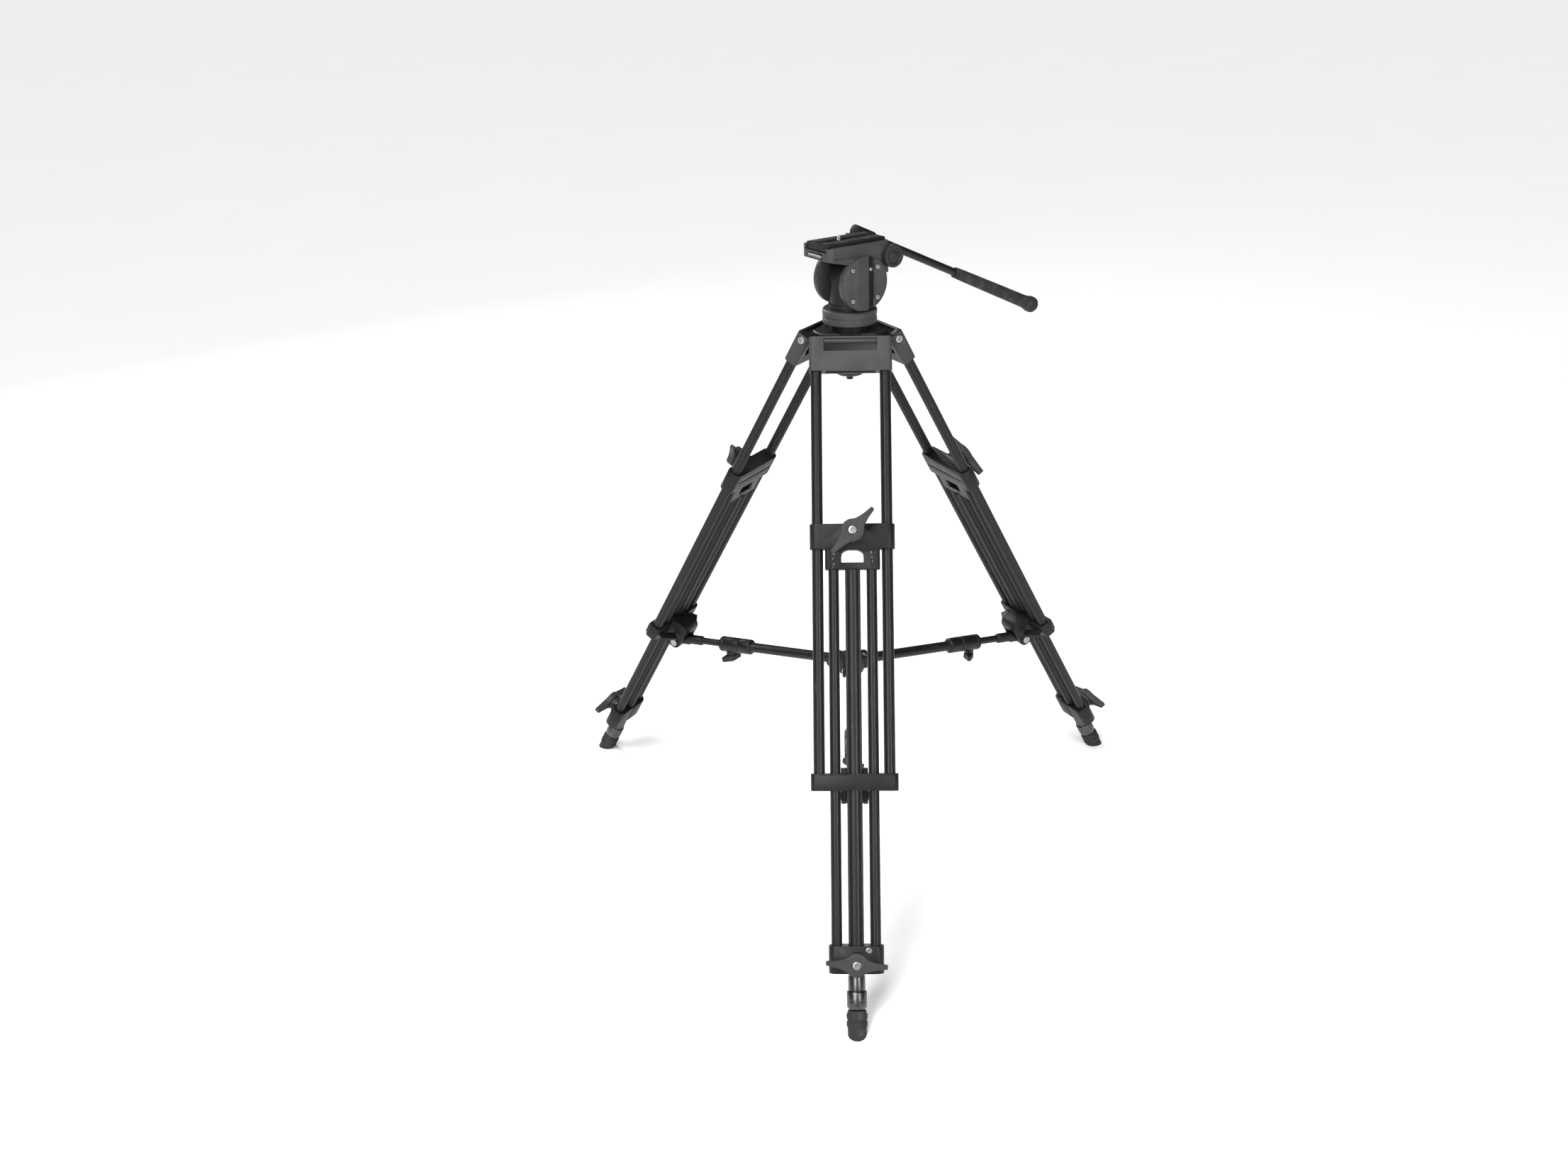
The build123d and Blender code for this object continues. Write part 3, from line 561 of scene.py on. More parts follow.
def wing_knob(name, face, station, turn):
    """Two-winged knob in the leg frame; turn is the angle of the wings."""
    knob = rod(16.5, (0, face, 0), (0, face + 12, 0), sides=32, name=name)
    for way in (1, -1):
        wing(knob, way)
    for side in (-1, 1):
        pick(knob, lambda at, normal, side=side: normal.y * side > 0.95)
        bpy.ops.mesh.inset(thickness=1.3 * MM)
        bpy.ops.object.mode_set(mode="OBJECT")
    modify(knob, "SUBSURF", levels=2, render_levels=2)
    hub = rod(13.5, (0, face + 8, 0), (0, face + 17, 0), sides=48)
    dish = rod(7.4, (0, face - 1, 0), (0, face + 0.8, 0), sides=48)
    weld(knob, hub)
    cut(knob, dish)
    knob.data.transform(Matrix.Translation((0, 0, -station * MM)) @ Matrix.Rotation(-turn, 4, "Y"))
    return knob


def socket_screw(name, radius, face, station, depth=2.6, x=0.0):
    """Round-headed socket screw that faces -Y."""
    screw = rod(radius, (x, face, -station), (x, face + depth, -station), sides=48, name=name)
    soften(screw, 0.5, 3)
    key = rod(radius * 0.52, (x, face - 1, -station), (x, face + depth * 0.6, -station), sides=6)
    return soften(cut(screw, key), 0.12, 1)


for name, front, station, turn in (("upper", -37, 273, radians(47)),
                                   ("lower", -38, 872.5, radians(-4))):
    body = "stage_knob" if name == "upper" else "foot_knob"
    on_every_leg(wing_knob(f"{name}_wing_knob", front, station, turn), body, "cast_knob",
                 f"{name}_knob")
    on_every_leg(socket_screw(f"{name}_knob_screw", 5.8, front - 1.2, station), body, "steel")

# %% [markdown]
# ## Sliding clamps
#
# The clamp that slides on the upper tubes is one casting: a bar with round ends that wraps both
# tubes, and a skirt below with an arched window. The radii matter most here, because they carry
# the highlights. A Bevel modifier rounds only what is sharper than its angle, so the big end
# radii are made first and the small ones over everything afterwards.


# %% Clamp of the middle stage
def leg_holes(stage, radius, spacing, top, end):
    """Round tools for a pair of tube holes."""
    return [rod(radius, (side * spacing, 0, -end), (side * spacing, 0, -top), sides=48,
                name=stage) for side in (-1, 1)]


bar = slab((-60.5, -12, -297), (60.5, 12, -261), "sliding_clamp")
round_edges(bar, upright, 10.5, 8)
skirt = slab((-39, -9.5, -326), (39, 9.5, -290))
round_edges(skirt, upright, 5, 4)
weld(bar, skirt)
boss = rod(15.5, (0, -20, -273), (0, -10, -273))
weld(bar, boss)
arch = slab((-15.8, -20, -316), (15.8, 20, -306))
crown_arch = rod(15.8, (0, -20, -306), (0, 20, -306))
crown_arch.data.transform(Matrix.Translation((0, 0, -306 * MM)) @ Matrix.Diagonal((1, 1, 0.55, 1))
                          @ Matrix.Translation((0, 0, 306 * MM)))
cut(bar, arch, crown_arch, slab((-32, -12, -330), (32, -7.5, -300)),
    *leg_holes("hole", 8.3, 49.5, 250, 300), *leg_holes("room", 10.2, 49.5, 297, 330),
    *leg_holes("seat", 7.4, 27, 296, 330), slab((-45.5, 3, -280), (45.5, 13, -278)))
soften(bar, 0.7)
on_every_leg(bar, "stage", "black_casting", "clamp_block")

# %% Lock of the foot stage
lock = slab((-38.4, -13, -888), (38.4, 13, -850), "foot_lock")
round_edges(lock, upright, 11, 8)
weld(lock, rod(14.6, (0, -21, -872.5), (0, -11, -872.5)))
cut(lock, rod(11.3, (0, 0, -890), (0, 0, -840)), *leg_holes("seat", 7.4, 27, 840, 885),
    slab((-1, 0, -890), (1, 14, -848)))
soften(lock, 0.8)
on_every_leg(lock, "stage", "black_casting", "lower_lock")
on_every_leg(socket_screw("lock_bolt", 4.4, -14.2, 856, 1.6, x=17), "stage", "steel")

# %% [markdown]
# ## Yokes
#
# A yoke is the casting at the top of each leg. It straddles a barrel on the crown and holds both
# upper tubes. Its outer face has a wide pocket with a round bar along its upper edge. The pocket
# floor and the inner faces between the cheeks are painted black as painted shade, so they get a
# second material: a face can name any material slot of its object, and the faces are found by how
# deep they lie.


# %% Yoke with its pocket
yoke = slab((-59.5, -11, -41), (59.5, 11, 9), "leg_yoke")
round_edges(yoke, upright, 6, 6)
round_edges(yoke, lambda a, b: abs(a.z - 9) < 0.1 and abs(b.z - 9) < 0.1 and a.x * b.x > 1500
            and abs(a.y - b.y) > 8, 6, 5)
cut(yoke, slab((-44, -7.4, -24), (44, 14, 14)), slab((-36, -7, -44), (36, 7, -28)),
    slab((-38, -14, -12), (38, -8.2, 5.6)),
    *leg_holes("tube hole", 7.6, 49.5, 20, 44),
    *[rod(6.8, (side * 56, 0, 0), (side * 61, 0, 0), sides=48) for side in (-1, 1)])
soften(yoke, 0.8)
bar = rod(2.9, (-37.6, -9.4, 2.4), (37.6, -9.4, 2.4), sides=32, name="yoke_bar")
soften(bar, 0.5)
on_every_leg(bar, "leg", "grey_casting")
on_every_leg(yoke, "leg", "grey_casting", "yoke")
# Painted shade: black on the pocket floor and on the inner faces between the cheeks.
for leg in LEGS:
    paint_pocket_shade(bpy.data.objects[f"leg_yoke_{leg}"], leg_frames[leg], f"leg.{leg}",
            lambda at: (abs(at.x) < 38.2 and -10.6 < at.y < -7.9 and -12.2 < at.z < 5.8
                        or at.y > -7.6 and abs(at.x) < 44.2))

# %% [markdown]
# ## Fluted tubes
#
# The leg tubes have lengthwise flutes, which stiffen them and break the reflection into narrow
# stripes. A flute is easy to make on a cylinder of many sides: select the long faces where the
# flute lies, inset them a little and push them in. The inset leaves a sloping wall on both sides,
# so the groove catches the light softly instead of as a hard line.


# %% Tubes of the three leg stages
def fluted(name, radius, x, top, end, flutes, depth):
    """Tube along Z in the leg frame, with one flute facing outwards, and a plug in each end."""
    tube = rod(radius, (x, 0, -end), (x, 0, -top), sides=72, name=name)
    gap = 360 / flutes

    def in_flute(at, normal):
        turn = atan2(normal.y, normal.x) * 180 / pi + 90 + gap / 2
        return abs(normal.z) < 0.1 and abs(turn % gap - gap / 2) < 11.5

    pick(tube, in_flute)
    bpy.ops.mesh.inset(thickness=0.45 * MM, depth=-depth * MM)
    bpy.ops.object.mode_set(mode="OBJECT")
    pick(tube, lambda at, normal: abs(normal.z) > 0.9 and Vector((at.x - x, at.y)).length < 1)
    bpy.ops.mesh.inset(thickness=1.3 * MM)
    bpy.ops.mesh.inset(thickness=0.1 * MM, depth=-2.0 * MM)
    bpy.ops.object.mode_set(mode="OBJECT")
    return tube


for side in (-1, 1):
    mark = "a" if side < 0 else "b"
    tube = fluted(f"upper_tube_{mark}", 8.0, side * 49.5, 15, 637, 6, 1.0)
    on_every_leg(tube, "leg", "black_tube", "upper_tubes")
    tube = fluted(f"side_tube_{mark}", 7.5, side * 27, 298, 884, 6, 0.9)
    on_every_leg(tube, "stage", "black_tube", "side_tubes")
on_every_leg(fluted("foot_stage_tube", 11.0, 0, 326.6, 909, 8, 1.3), "foot", "black_tube",
             "foot_tube")

# %% [markdown]
# ## Turned ferrules and rubber shoes
#
# Everything at the foot of a leg is turned: a polished sleeve, a stepped ferrule and a ribbed
# rubber shoe. A turned part is a profile spun about its axis, so only half an outline has to be
# drawn. The shoe is cut level with the floor, because the whole sole touches the ground.


# %% Sleeve, ferrule and shoe
DOWN = Matrix.Rotation(pi / 2, 4, "Y")
sleeve = lathe([(892, 10.9), (892, 11.5), (893, 11.9), (910, 11.9), (910.6, 11.4), (911.6, 11.4),
                (912.4, 13.3), (913.4, 14), (925, 14), (925.5, 13.6), (926.5, 13.6), (927, 14),
                (933.5, 14), (936.5, 12.6), (938.5, 10), (938.5, 0)], "foot_ferrule")
sleeve.data.transform(DOWN)
on_every_leg(sleeve, "foot", "bright_tube")
shoe = lathe([(938.6, 0), (938.6, 11.5), (940, 13.2), (943, 13.4), (944, 14.6), (950, 14.6),
              (951, 13.4), (953.5, 13.4), (954.5, 14.6), (960.5, 14.6), (961.5, 13.4), (964, 13.4),
              (965, 13.1), (992, 13.1), (992, 0)], "rubber_shoe")
shoe.data.transform(DOWN)
modify(shoe, "BEVEL", width=0.35 * MM, segments=2, limit_method="ANGLE", angle_limit=radians(25))
pick(shoe, lambda at, normal: True)
sole = leg_frames["front"].inverted() @ Vector((0, leg_frames["front"].translation.y - 0.5, 0.0002))
normal = leg_frames["front"].inverted().to_3x3() @ Vector((0, 0, 1))
bpy.ops.mesh.bisect(plane_co=sole, plane_no=normal, use_fill=True, clear_inner=True)
bpy.ops.object.mode_set(mode="OBJECT")
on_every_leg(shoe, "foot", "rubber", "rubber_foot")

# %% [markdown]
# ## The head
#
# The head is a tilting cradle between two round covers, on a drum that pans. The near cover is
# not a plain disc: its front part slopes away, a raised flat stands in the middle, and a deep
# channel runs beside it. Those facets are what the light shows, and the channel is also painted
# black as painted shade. Cutting them with slanted slabs is the same move as a milling cutter makes.


# %% Side covers with their facets and screws
def side_cover(side):
    """Round cover of one cheek, in the head frame; side is +1 near and -1 far."""
    cover = rod(38.7, (0, side * 34.6, 82), (0, side * 39.5, 82), sides=128,
                name="near_cover" if side > 0 else "far_cover")
    slope = slab((14.4, -3, 30), (60, 3, 130))
    slope.data.transform(Matrix.Translation((0, side * 42.5 * MM, 0))
                         @ Matrix.Translation((14.4 * MM, 0, 0))
                         @ Matrix.Rotation(-side * radians(10), 4, "Z")
                         @ Matrix.Translation((-14.4 * MM, 0, 0)))
    rear = slab((-60, -3, 30), (-14.2, 3, 130))
    rear.data.transform(Matrix.Translation((0, side * 41.7 * MM, 0)))
    channel = slab((-13.8, -3, 30), (-5, 3, 130))
    channel.data.transform(Matrix.Translation((0, side * 39.4 * MM, 0)))
    cut(cover, slope, rear, channel)
    for x in (-22, 22):
        for z in (60, 104):
            cut(cover, rod(4.0, (x, side * 37.2, z), (x, side * 42, z), sides=32))
    return soften(cover, 0.6, 3, 22)


def cover_screws(side):
    """The four socket screws of one cover, and the stop pin in its channel."""
    screws = []
    for x in (-22, 22):
        for z in (60, 104):
            screw = rod(3.5, (x, side * 36.6, z), (x, side * 38.7, z), sides=32)
            soften(screw, 0.4, 2)
            cut(screw, rod(1.7, (x, side * 37.6, z), (x, side * 40, z), sides=6))
            screws.append(screw)
    stop_pin = rod(2.8, (-9.4, side * 34.8, 102), (-9.4, side * 38.6, 102), sides=32)
    screws.append(soften(stop_pin, 0.5, 2))
    return screws


for side in (1, -1):
    cover = side_cover(side)
    settle(cover, head_frame, "tilt", "grey_casting", "head", "side_covers")
    # Painted shade: the faces of the channel are painted black.
    paint_pocket_shade(cover, head_frame, "head", lambda at: -13.9 < at.x < -4.9 and abs(at.y) < 38.6)
    screws = join(*cover_screws(side))
    screws.name = f"cover_screws_{'near' if side > 0 else 'far'}"
    settle(screws, head_frame, "tilt", "steel", "head")

# %% Tilting cradle with its cheeks
cradle = slab((-48, -33.5, 112), (60, 33.5, 137), "camera_cradle")
for pivot, tilt in (((60, 119), -13.1), ((-48, 117), 15.5)):
    belly = slab((-90, -50, -40), (90, 50, 0))
    belly.data.transform(Matrix.Translation((pivot[0] * MM, 0, pivot[1] * MM))
                         @ Matrix.Rotation(radians(tilt), 4, "Y"))
    cut(cradle, belly)
round_edges(cradle, lambda a, b: upright(a, b) and abs(a.y) > 30, 8, 6)
for side in (-1, 1):
    weld(cradle, rod(39.5, (0, side * 27, 82), (0, side * 34.5, 82), sides=128))
    low, high = sorted((side * 27, side * 34.5))
    weld(cradle, slab((-44, low, 92), (-18, high, 118)))
weld(cradle, rod(14.5, (-46, 20, 116.5), (-46, 36, 116.5)),
     rod(14.5, (-46, -36, 120), (-46, -20, 120)))
for side in (-1, 1):
    low, high = sorted((side * 32.3, side * 36))
    cut(cradle, slab((-26, low, 121), (50, high, 133)))
dovetail = slab((-80, -25.6, 130.7), (80, 25.6, 140))
pick(dovetail, lambda at, normal: normal.z > 0.9)
bpy.ops.transform.resize(value=(1, 0.86, 1))
bpy.ops.object.mode_set(mode="OBJECT")
cut(cradle, dovetail, rod(14.3, (0, -50, 82), (0, 50, 82)),
    rod(1.8, (50, 9, 131), (62, 9, 131), sides=24),
    slab((51.5, -17, 120.4), (62, 16, 127.8)))
soften(cradle, 0.5, 2)
settle(cradle, head_frame, "tilt", "grey_casting", "head", "tilt_cradle")

# %% [markdown]
# ## Panning drum and camera plate
#
# The drum under the head is a turned part with a shallow band. The camera plate slides in the
# cradle's dovetail: it has a slot for the camera screw and two ribbed rubber strips that keep the
# camera from turning. The ribs are one thin bar and an Array modifier, which is how you make
# anything that repeats in a row.

# %% Fixed drum of the pan unit
UP = Matrix.Rotation(-pi / 2, 4, "Y")
drum = lathe([(20.5, 29), (20.5, 38.5), (21.5, 40), (27.6, 40), (28.2, 39.2), (31.4, 39.2),
              (32, 40), (39.4, 40), (41, 38.4), (41, 18.4), (33.2, 18.4)], "pan_drum")
drum.data.transform(UP)
settle(drum, head_frame, "head_base", "grey_casting", "head", "pan_base")

# %% Knob that pulls the ball into the bowl
ball_knob = lathe([(-59, 5.4), (-59, 14), (-57.8, 19), (-55, 22), (-51.5, 23), (-39, 23),
                   (-37, 21.5), (-37, 5.4), (-59, 5.4)], "ball_knob")
ball_knob.data.transform(UP)
cut(ball_knob, *[rod(4.6, (26.4 * cos(turn * pi / 4), 26.4 * sin(turn * pi / 4), -70),
                     (26.4 * cos(turn * pi / 4), 26.4 * sin(turn * pi / 4), -30), sides=32)
                 for turn in range(8)])
soften(ball_knob, 0.8, 3)
settle(ball_knob, head_frame, "tie_knob", "black_plastic", "head", "tie_down_knob")

# %% Camera plate, its rubber strips and its screw
plate = slab((-46, -25, 137.3), (58, 25, 141), "camera_plate")
rail = slab((-46, -25.2, 131), (58, 25.2, 137.6))
pick(rail, lambda at, normal: normal.z > 0.9)
bpy.ops.transform.resize(value=(1, 0.88, 1))
bpy.ops.object.mode_set(mode="OBJECT")
weld(plate, rail)
round_edges(plate, lambda a, b: upright(a, b) and a.z > 137 and b.z > 137, 2.5, 4)
slot = [rod(3.6, (x, 0, 130), (x, 0, 150), sides=32) for x in (-25, 37)]
seat = [rod(8.5, (x, 0, 130), (x, 0, 136), sides=32) for x in (-25.5, 37.5)]
cut(plate, slab((-25, -3.6, 130), (37, 3.6, 150)), *slot,
    slab((-25.5, -8.5, 130), (37.5, 8.5, 136)), *seat,
    *[slab((x - 0.4, -26, 140.4), (x + 0.4, -22, 142)) for x in range(-30, 51, 10)])
soften(plate, 0.45)
settle(plate, head_frame, "plate", "black_casting", "head", "quick_plate")
for side, mark in ((-1, "a"), (1, "b")):
    low, high = sorted((side * 7, side * 21))
    strip = slab((-42, low, 141.01), (54, high, 141.7), f"plate_strip_{mark}")
    rib = slab((-41, low + 0.8, 141.5), (-39.6, high - 0.8, 142.2))
    modify(rib, "ARRAY", count=38, use_relative_offset=False, use_constant_offset=True,
           constant_offset_displace=(2.5 * MM, 0, 0))
    modify(rib, "BEVEL", width=0.25 * MM, segments=2)
    strip = join(strip, rib)
    settle(strip, head_frame, "plate", "rubber", "head", "plate_pads")
screw = lathe([(132, 0), (132, 6.4), (132.6, 7), (135, 7), (135.9, 6.2), (135.9, 2.9), (140, 2.9)]
              + [point for turn in range(6) for point in
                 ((140.6 + turn, 2.6), (141.1 + turn, 3.17))]
             + [(147, 2.3), (147, 0)], "camera_stud")
screw.data.transform(Matrix.Translation((18 * MM, 0, 0)) @ UP)
cut(screw, slab((5, -0.8, 130), (31, 0.8, 133.2)))
settle(screw, head_frame, "plate", "steel", "head", "camera_screw")

# %% Release key
key = slab((55.6, -15.8, 121.6), (61.5, 14.8, 126.6), "release_key")
round_edges(key, lambda a, b: abs(a.y - b.y) < 0.1 and abs(a.z - b.z) < 0.1, 1.8, 4)
pick(key, lambda at, normal: normal.x > 0.9)
bpy.ops.mesh.inset(thickness=1.1 * MM, depth=-0.5 * MM)
bpy.ops.object.mode_set(mode="OBJECT")
soften(key, 0.3)
settle(key, head_frame, "release_key", "steel", "head", "release_lever")

# %% [markdown]
# ## Round knobs and the pan bar
#
# The knob at the rear corner of the cradle has a thick knurled rim and a dished face. The knurls
# are the flutes of the leg tubes again, on a short cylinder. The bar leaves the far side of the
# head and runs back and down to a rubber grip with a swollen end, which is a turned profile too.


# %% Knurled side knob
def knurled(name, radius, start, end, ribs, depth):
    """Short cylinder along Y with sunk stripes around its rim."""
    knob = rod(radius, start, end, sides=ribs * 4, name=name)
    gap = 360 / ribs

    def in_stripe(at, normal):
        turn = atan2(normal.z, normal.x) * 180 / pi + 360
        return abs(normal.y) < 0.1 and abs(turn % gap - gap / 2) < gap * 0.3

    pick(knob, in_stripe)
    bpy.ops.mesh.inset(thickness=0.4 * MM, depth=-depth * MM)
    bpy.ops.object.mode_set(mode="OBJECT")
    return knob


knob = knurled("corner_knob", 16.5, (-46, 36.6, 116.5), (-46, 45.6, 116.5), 24, 0.6)
pick(knob, lambda at, normal: normal.y > 0.9 and (at - Vector((-46, 45.6, 116.5))).length < 2)
bpy.ops.mesh.inset(thickness=1.2 * MM)
bpy.ops.mesh.extrude_region_move(TRANSFORM_OT_translate={"value": (0, 0.4 * MM, 0)})
bpy.ops.mesh.inset(thickness=3.4 * MM)
bpy.ops.mesh.inset(thickness=0.6 * MM, depth=-1.8 * MM)
bpy.ops.mesh.inset(thickness=5.4 * MM, depth=0.3 * MM)
bpy.ops.mesh.inset(thickness=0.5 * MM, depth=1.2 * MM)
bpy.ops.object.mode_set(mode="OBJECT")
soften(knob, 0.3, 2, 40)
settle(knob, head_frame, "side_knob", "black_plastic", "head", "side_knob")

# %% Pan bar and grip
OFFSET = Matrix.Translation((0, 9.7 * MM, 16.4 * MM))
shaft = lathe([(-5.9, 0), (-5.9, 5.2), (-5.2, 5.95), (379, 5.95), (379, 0)], "bar_shaft")
shaft.data.transform(OFFSET)
settle(shaft, bar_frame, "bar", "black_tube", "bar", "pan_bar")
grip = lathe([(203, 6.05), (203, 7.4), (203.8, 8.2), (207, 8.3), (207.4, 7.7), (209, 7.7),
              (209.4, 8.4), (240, 9), (300, 9.6), (360, 10.1), (366, 10.2), (366.4, 9.7), (368, 9.7),
              (368.4, 10.3), (372, 10.6), (376, 11.6), (380, 12.6), (385, 12.9), (390, 12.2), (393, 10), (394, 7),
              (394, 0)], "bar_handle")
modify(grip, "BEVEL", width=0.25 * MM, segments=2, limit_method="ANGLE", angle_limit=radians(40))
grip.data.transform(OFFSET)
settle(grip, bar_frame, "bar", "rubber", "bar", "bar_grip")
clamp = rod(15.5, (0, 0.5, 0), (0, 18, 0), name="bar_socket")
socket = rod(9, (-12, 9.7, 16.4), (26, 9.7, 16.4))
weld(clamp, slab((-11, 1.2, 3), (22, 16.8, 15)), socket)
cut(clamp, rod(6.05, (-7, 9.7, 16.4), (40, 9.7, 16.4)), slab((-14, 15.5, 15.9), (28, 22, 16.9)))
soften(clamp, 0.7, 3)
settle(clamp, bar_frame, "bar", "black_casting", "bar", "bar_clamp")

# %% [markdown]
# ## Spreader
#
# Three telescopic arms run from a hub to the legs. Each has an outer tube with a clamping collar,
# an inner rod, and a small winged knob that hangs below the collar. The arm is turned from one
# profile, with the grooves of the collar in it.

# %% Arms, collars and rods
arm = lathe([(6, 0), (6, 8.2), (159, 8.2), (160, 10.5), (162.5, 12.8), (182, 13), (182.6, 12.1),
             (185, 12.1), (185.6, 13), (213, 13), (213.6, 12.3), (215, 12.3), (215.6, 13),
             (220.5, 13), (222, 11.8), (222, 6.2), (216, 6.2)], "spreader_arm")
weld(arm, rod(9, (0, -8, 0), (0, 8, 0)), rod(7.5, (207, 0, -18), (207, 0, -8), sides=32))
cut(arm, rod(3.1, (0, -10, 0), (0, 10, 0), sides=32))
soften(arm, 0.4)
on_every_leg(arm, "arm", "black_tube", "arm_tube", arm_frames)
clevis = leg_frames["front"] @ (Vector((0, 30, -646)) * MM)
reach = (arm_frames["front"].inverted() @ clevis).x / MM
print(f"arm reach {reach:.1f} mm")
rod_end = lathe([(46, 0), (46, 5.8), (262, 5.8), (263, 7.6), (264.5, 8.2), (reach - 8, 8.2),
                 (reach - 8, 0)], "spreader_rod")
weld(rod_end, slab((reach - 24, -8, -7), (reach, 8, 7)), rod(11, (reach, -12, 0), (reach, 12, 0)))
cut(rod_end, rod(6.2, (reach, -13, 0), (reach, 13, 0), sides=32))
soften(rod_end, 0.5)
on_every_leg(rod_end, "arm_rod", "black_tube", "arm_rod", arm_frames)

# %% Hanging knobs of the arms
knob = rod(8.5, (0, 0, -28.6), (0, 0, -18.8), sides=24, name="arm_wing_knob")
for way in (1, -1):
    pick(knob, lambda at, normal: normal.x * way > 0.7)
    for out_by, narrow in ((4, 0.75), (4, 0.75), (2, 0.85)):
        step = (way * out_by * MM, 0, 0)
        bpy.ops.mesh.extrude_region_move(TRANSFORM_OT_translate={"value": step})
        bpy.ops.transform.resize(value=(0.4, narrow, 0.9))
    bpy.ops.object.mode_set(mode="OBJECT")
for way in (1, -1):
    pick(knob, lambda at, normal: normal.z * way > 0.9)
    bpy.ops.mesh.inset(thickness=0.8 * MM)
    bpy.ops.object.mode_set(mode="OBJECT")
modify(knob, "SUBSURF", levels=2, render_levels=2)
knob.data.transform(Matrix.Translation((207 * MM, 0, 0)) @ Matrix.Rotation(radians(60), 4, "Z"))
on_every_leg(knob, "arm_knob", "black_plastic", "arm_knob", arm_frames)
cap = rod(4.2, (207, 0, -30.4), (207, 0, -28), sides=32, name="arm_knob_cap")
soften(cap, 0.5, 3)
cut(cap, rod(2.1, (207, 0, -32), (207, 0, -29.2), sides=6))
on_every_leg(cap, "arm_knob", "steel", None, arm_frames)

# %% Hub
hub_frame = Matrix.Translation((crown_axis.x, crown_axis.y, anchor("arm_hinge_front").z))
hub = rod(21, (0, 0, -13), (0, 0, 13), sides=96, name="spreader_centre")
pins = []
for turn in (-90, 30, 150):
    spin = Matrix.Rotation(radians(turn), 4, "Z")
    ear = slab((8, -13.5, -10), (38, 13.5, 10))
    round_edges(ear, lambda a, b: a.x > 37 and b.x > 37 and abs(a.z - b.z) < 0.1, 7, 5)
    gap = slab((17, -8.3, -20), (50, 8.3, 20))
    pin = rod(3, (30, -14.4, 0), (30, 14.4, 0), sides=32)
    soften(pin, 0.5)
    for part in (ear, gap, pin):
        part.data.transform(spin)
    weld(hub, ear)
    pins.append((gap, pin))
cut(hub, *[gap for gap, pin in pins], rod(7, (0, 0, -30), (0, 0, 30)))
soften(hub, 1.0, 3)
settle(hub, hub_frame, "hub", "black_casting", "row", "spreader_hub")
pins = join(*[pin for gap, pin in pins])
pins.name = "hub_pins"
settle(pins, hub_frame, "hub", "steel", "row")

# %% [markdown]
# ## Brackets and hinge bolts
#
# Half way down, a cross casting ties the two upper tubes together. The two tubes of the next
# stage slide through it, and a clevis on its inner side takes the spreader arm. At the top, each
# leg turns on a shoulder bolt whose heads are the brightest spots of the tripod.

# %% Mid bracket with its clevis
bracket = slab((-61.5, -11, -637), (61.5, 11, -613), "mid_casting")
round_edges(bracket, upright, 7.5, 6)
weld(bracket, slab((-56.3, -13, -635.3), (56.3, -9, -614.7)))
lug = slab((-19, 6, -657), (19, 41.5, -606))
round_edges(lug, lambda a, b: abs(a.x - b.x) > 5 and a.y > 40 and b.y > 40, 12, 6)
round_edges(lug, lambda a, b: abs(a.x - b.x) > 5 and a.y < 7 and b.y < 7 and a.z < -650, 14, 5)
weld(bracket, lug)
for side in (-1, 1):
    low, high = sorted((side * 17, side * 46))
    web = slab((low, 8, -631), (high, 22, -626))
    web.data.transform(Matrix.Translation((side * 46 * MM, 9 * MM, 0))
                       @ Matrix.Rotation(-side * radians(32), 4, "Z")
                       @ Matrix.Translation((-side * 46 * MM, -9 * MM, 0)))
    weld(bracket, web)
cut(bracket, slab((-13, 15.5, -670), (13, 60, -624)), rod(11.4, (0, 0, -660), (0, 0, -600)),
    *leg_holes("slide", 7.9, 27, 600, 640), *leg_holes("seat", 7.6, 49.5, 600, 640),
    rod(4.1, (-30, 30, -646), (30, 30, -646), sides=32))
soften(bracket, 0.7)
on_every_leg(bracket, "leg", "black_casting", "mid_bracket")
pin = rod(4.0, (-20.5, 30, -646), (20.5, 30, -646), sides=32, name="clevis_pin")
heads = [soften(rod(6.4, (side * 19.1, 30, -646), (side * 21.9, 30, -646), sides=40), 0.6)
         for side in (-1, 1)]
on_every_leg(join(pin, *heads), "leg", "steel")

# %% Hinge bolts
bolt = rod(4.0, (-55.6, 0, 0), (55.6, 0, 0), sides=32, name="hinge_bolt")
ends = []
for side in (-1, 1):
    end = soften(rod(6.0, (side * 55.6, 0, 0), (side * 58.8, 0, 0), sides=48), 0.7, 3)
    ends.append(cut(end, rod(2.7, (side * 57.2, 0, 0), (side * 60, 0, 0), sides=6)))
bolt = join(bolt, *ends)
bolt.name = "hinge_bolt_pattern"
for leg in LEGS:
    copy = bolt.copy()
    copy.data = bolt.data.copy()
    copy.name = f"hinge_bolt_{leg}"
    scene.collection.objects.link(copy)
    settle(copy, leg_frames[leg], "crown", "steel", f"leg.{leg}", "hinge_bolts")
bpy.data.objects.remove(bolt)

# %% [markdown]
# ## Floor, light and camera
#
# A black object on a white sweep lives from its highlights, so the lights are big soft panels:
# their reflections draw the edges of the castings and the long stripes on the tubes. The camera
# stands a little over two metres in front of the tripod and looks down on it from the height of
# the head, with a moderately long lens.


# %% Floor
bpy.ops.mesh.primitive_plane_add(size=160, location=(0, 0, 0))
floor = bpy.context.object
floor.name = "floor"
sweep = Finish("floor", Matrix.Identity(4), Roughness=0.6)
tone = sweep.blend(sweep.noise(0.5, detail=3.0), grey(0.93), grey(0.96))
sweep.tree.links.new(tone.socket, sweep.shader.inputs["Base Color"])
floor.data.materials.append(sweep.material)

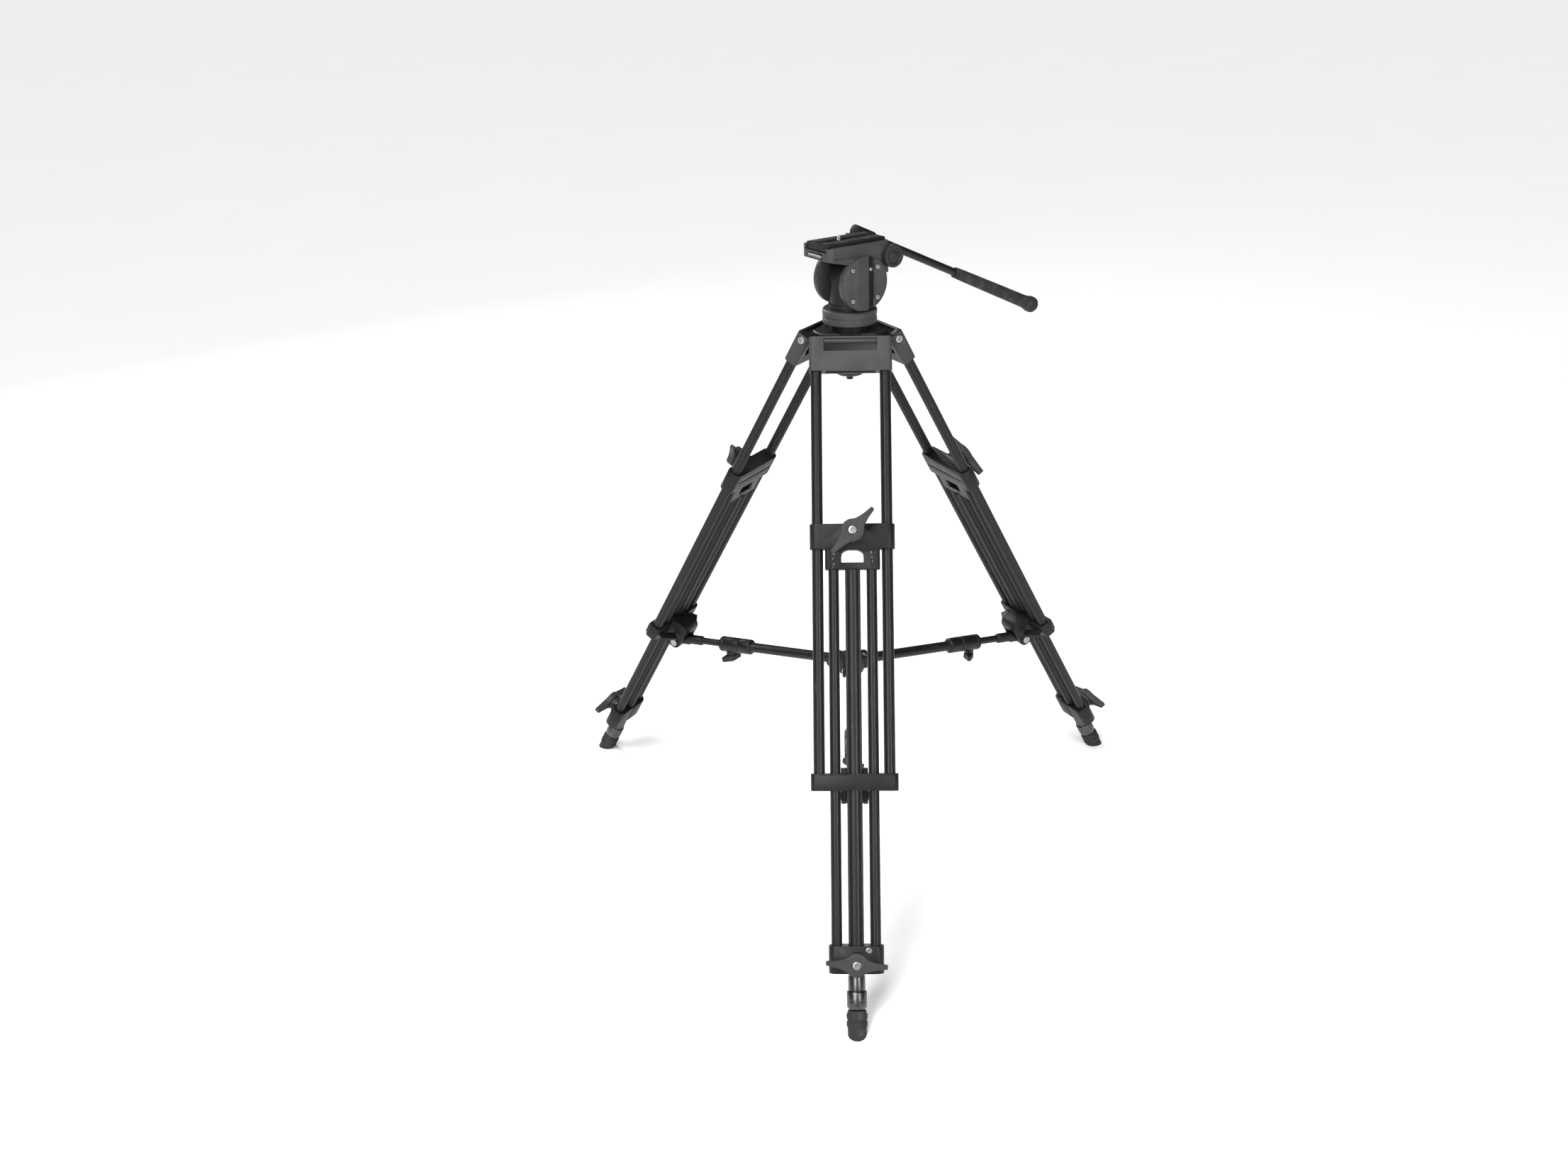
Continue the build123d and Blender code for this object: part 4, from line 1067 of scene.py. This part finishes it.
# %% Lights
scene.world = bpy.data.worlds.new("studio")
scene.world.use_nodes = True
sky = scene.world.node_tree
ray = sky.nodes.new("ShaderNodeLightPath")
where = sky.nodes.new("ShaderNodeTexCoord")
split = sky.nodes.new("ShaderNodeSeparateXYZ")
rise = sky.nodes.new("ShaderNodeMapRange")
rise.inputs["From Min"].default_value = -0.1
rise.inputs["From Max"].default_value = 0.9
rise.inputs["To Min"].default_value = 0.02
rise.inputs["To Max"].default_value = 0.2
shown = sky.nodes.new("ShaderNodeMix")
shown.inputs["B"].default_value = 0.93
sky.nodes["Background"].inputs["Color"].default_value = (0.97, 0.98, 1.0, 1.0)
for start, end in ((where.outputs["Generated"], split.inputs["Vector"]),
                   (split.outputs["Z"], rise.inputs["Value"]),
                   (rise.outputs["Result"], shown.inputs["A"]),
                   (ray.outputs["Is Camera Ray"], shown.inputs["Factor"]),
                   (shown.outputs["Result"], sky.nodes["Background"].inputs["Strength"])):
    sky.links.new(start, end)
scene.view_settings.view_transform = "Standard"

sun = bpy.data.lights.new("sun", "SUN")
sun.energy = 3.1
sun.angle = radians(35)
sun_lamp = bpy.data.objects.new("sun", sun)
sun_lamp.rotation_euler = Vector((0.35, 0.4, -1)).to_track_quat("-Z", "Y").to_euler()
scene.collection.objects.link(sun_lamp)


def panel(name, place, target, width, height, power):
    """Soft light panel that faces a point."""
    light = bpy.data.lights.new(name, "AREA")
    light.shape = "RECTANGLE"
    light.size = width
    light.size_y = height
    light.energy = power
    lamp = bpy.data.objects.new(name, light)
    lamp.location = place
    lamp.rotation_euler = (Vector(target) - Vector(place)).to_track_quat("-Z", "Y").to_euler()
    scene.collection.objects.link(lamp)
    return lamp


panel("key", (-1.1, -2.7, 1.9), (0, 0.1, 0.6), 0.9, 1.8, 70)
panel("fill", (1.5, -2.3, 1.6), (0, 0.1, 0.6), 0.5, 1.8, 44)
panel("rim", (-1.6, 2.2, 2.2), (0, 0.1, 0.7), 0.8, 1.6, 55)

# %% Camera
CAMERA_FROM_CROWN = Vector((-0.0310, -2.1439, 0.5769))
YAW, PITCH, ROLL = radians(-1.98), radians(24.65), radians(-1.34)
FOCAL_SHARE = 2104 / 2212
crown = Vector((0, anchor("tilt").y, anchor("tilt").z - TILT_HEIGHT))
forward = Vector((sin(YAW) * cos(PITCH), cos(YAW) * cos(PITCH), -sin(PITCH)))
side = forward.cross(Vector((0, 0, 1))).normalized()
up = side.cross(forward)
right = side * cos(ROLL) + up * sin(ROLL)
top = up * cos(ROLL) - side * sin(ROLL)
lens = bpy.data.cameras.new("camera")
lens.sensor_width = 36
lens.lens = 36 * FOCAL_SHARE
lens.clip_end = 50
camera = bpy.data.objects.new("camera", lens)
camera.matrix_world = Matrix.Translation(crown + CAMERA_FROM_CROWN) @ (
    Matrix((right, top, -forward)).transposed().to_4x4())
scene.collection.objects.link(camera)
scene.camera = camera
print(f"camera at {[round(v, 3) for v in camera.matrix_world.to_translation()]}")
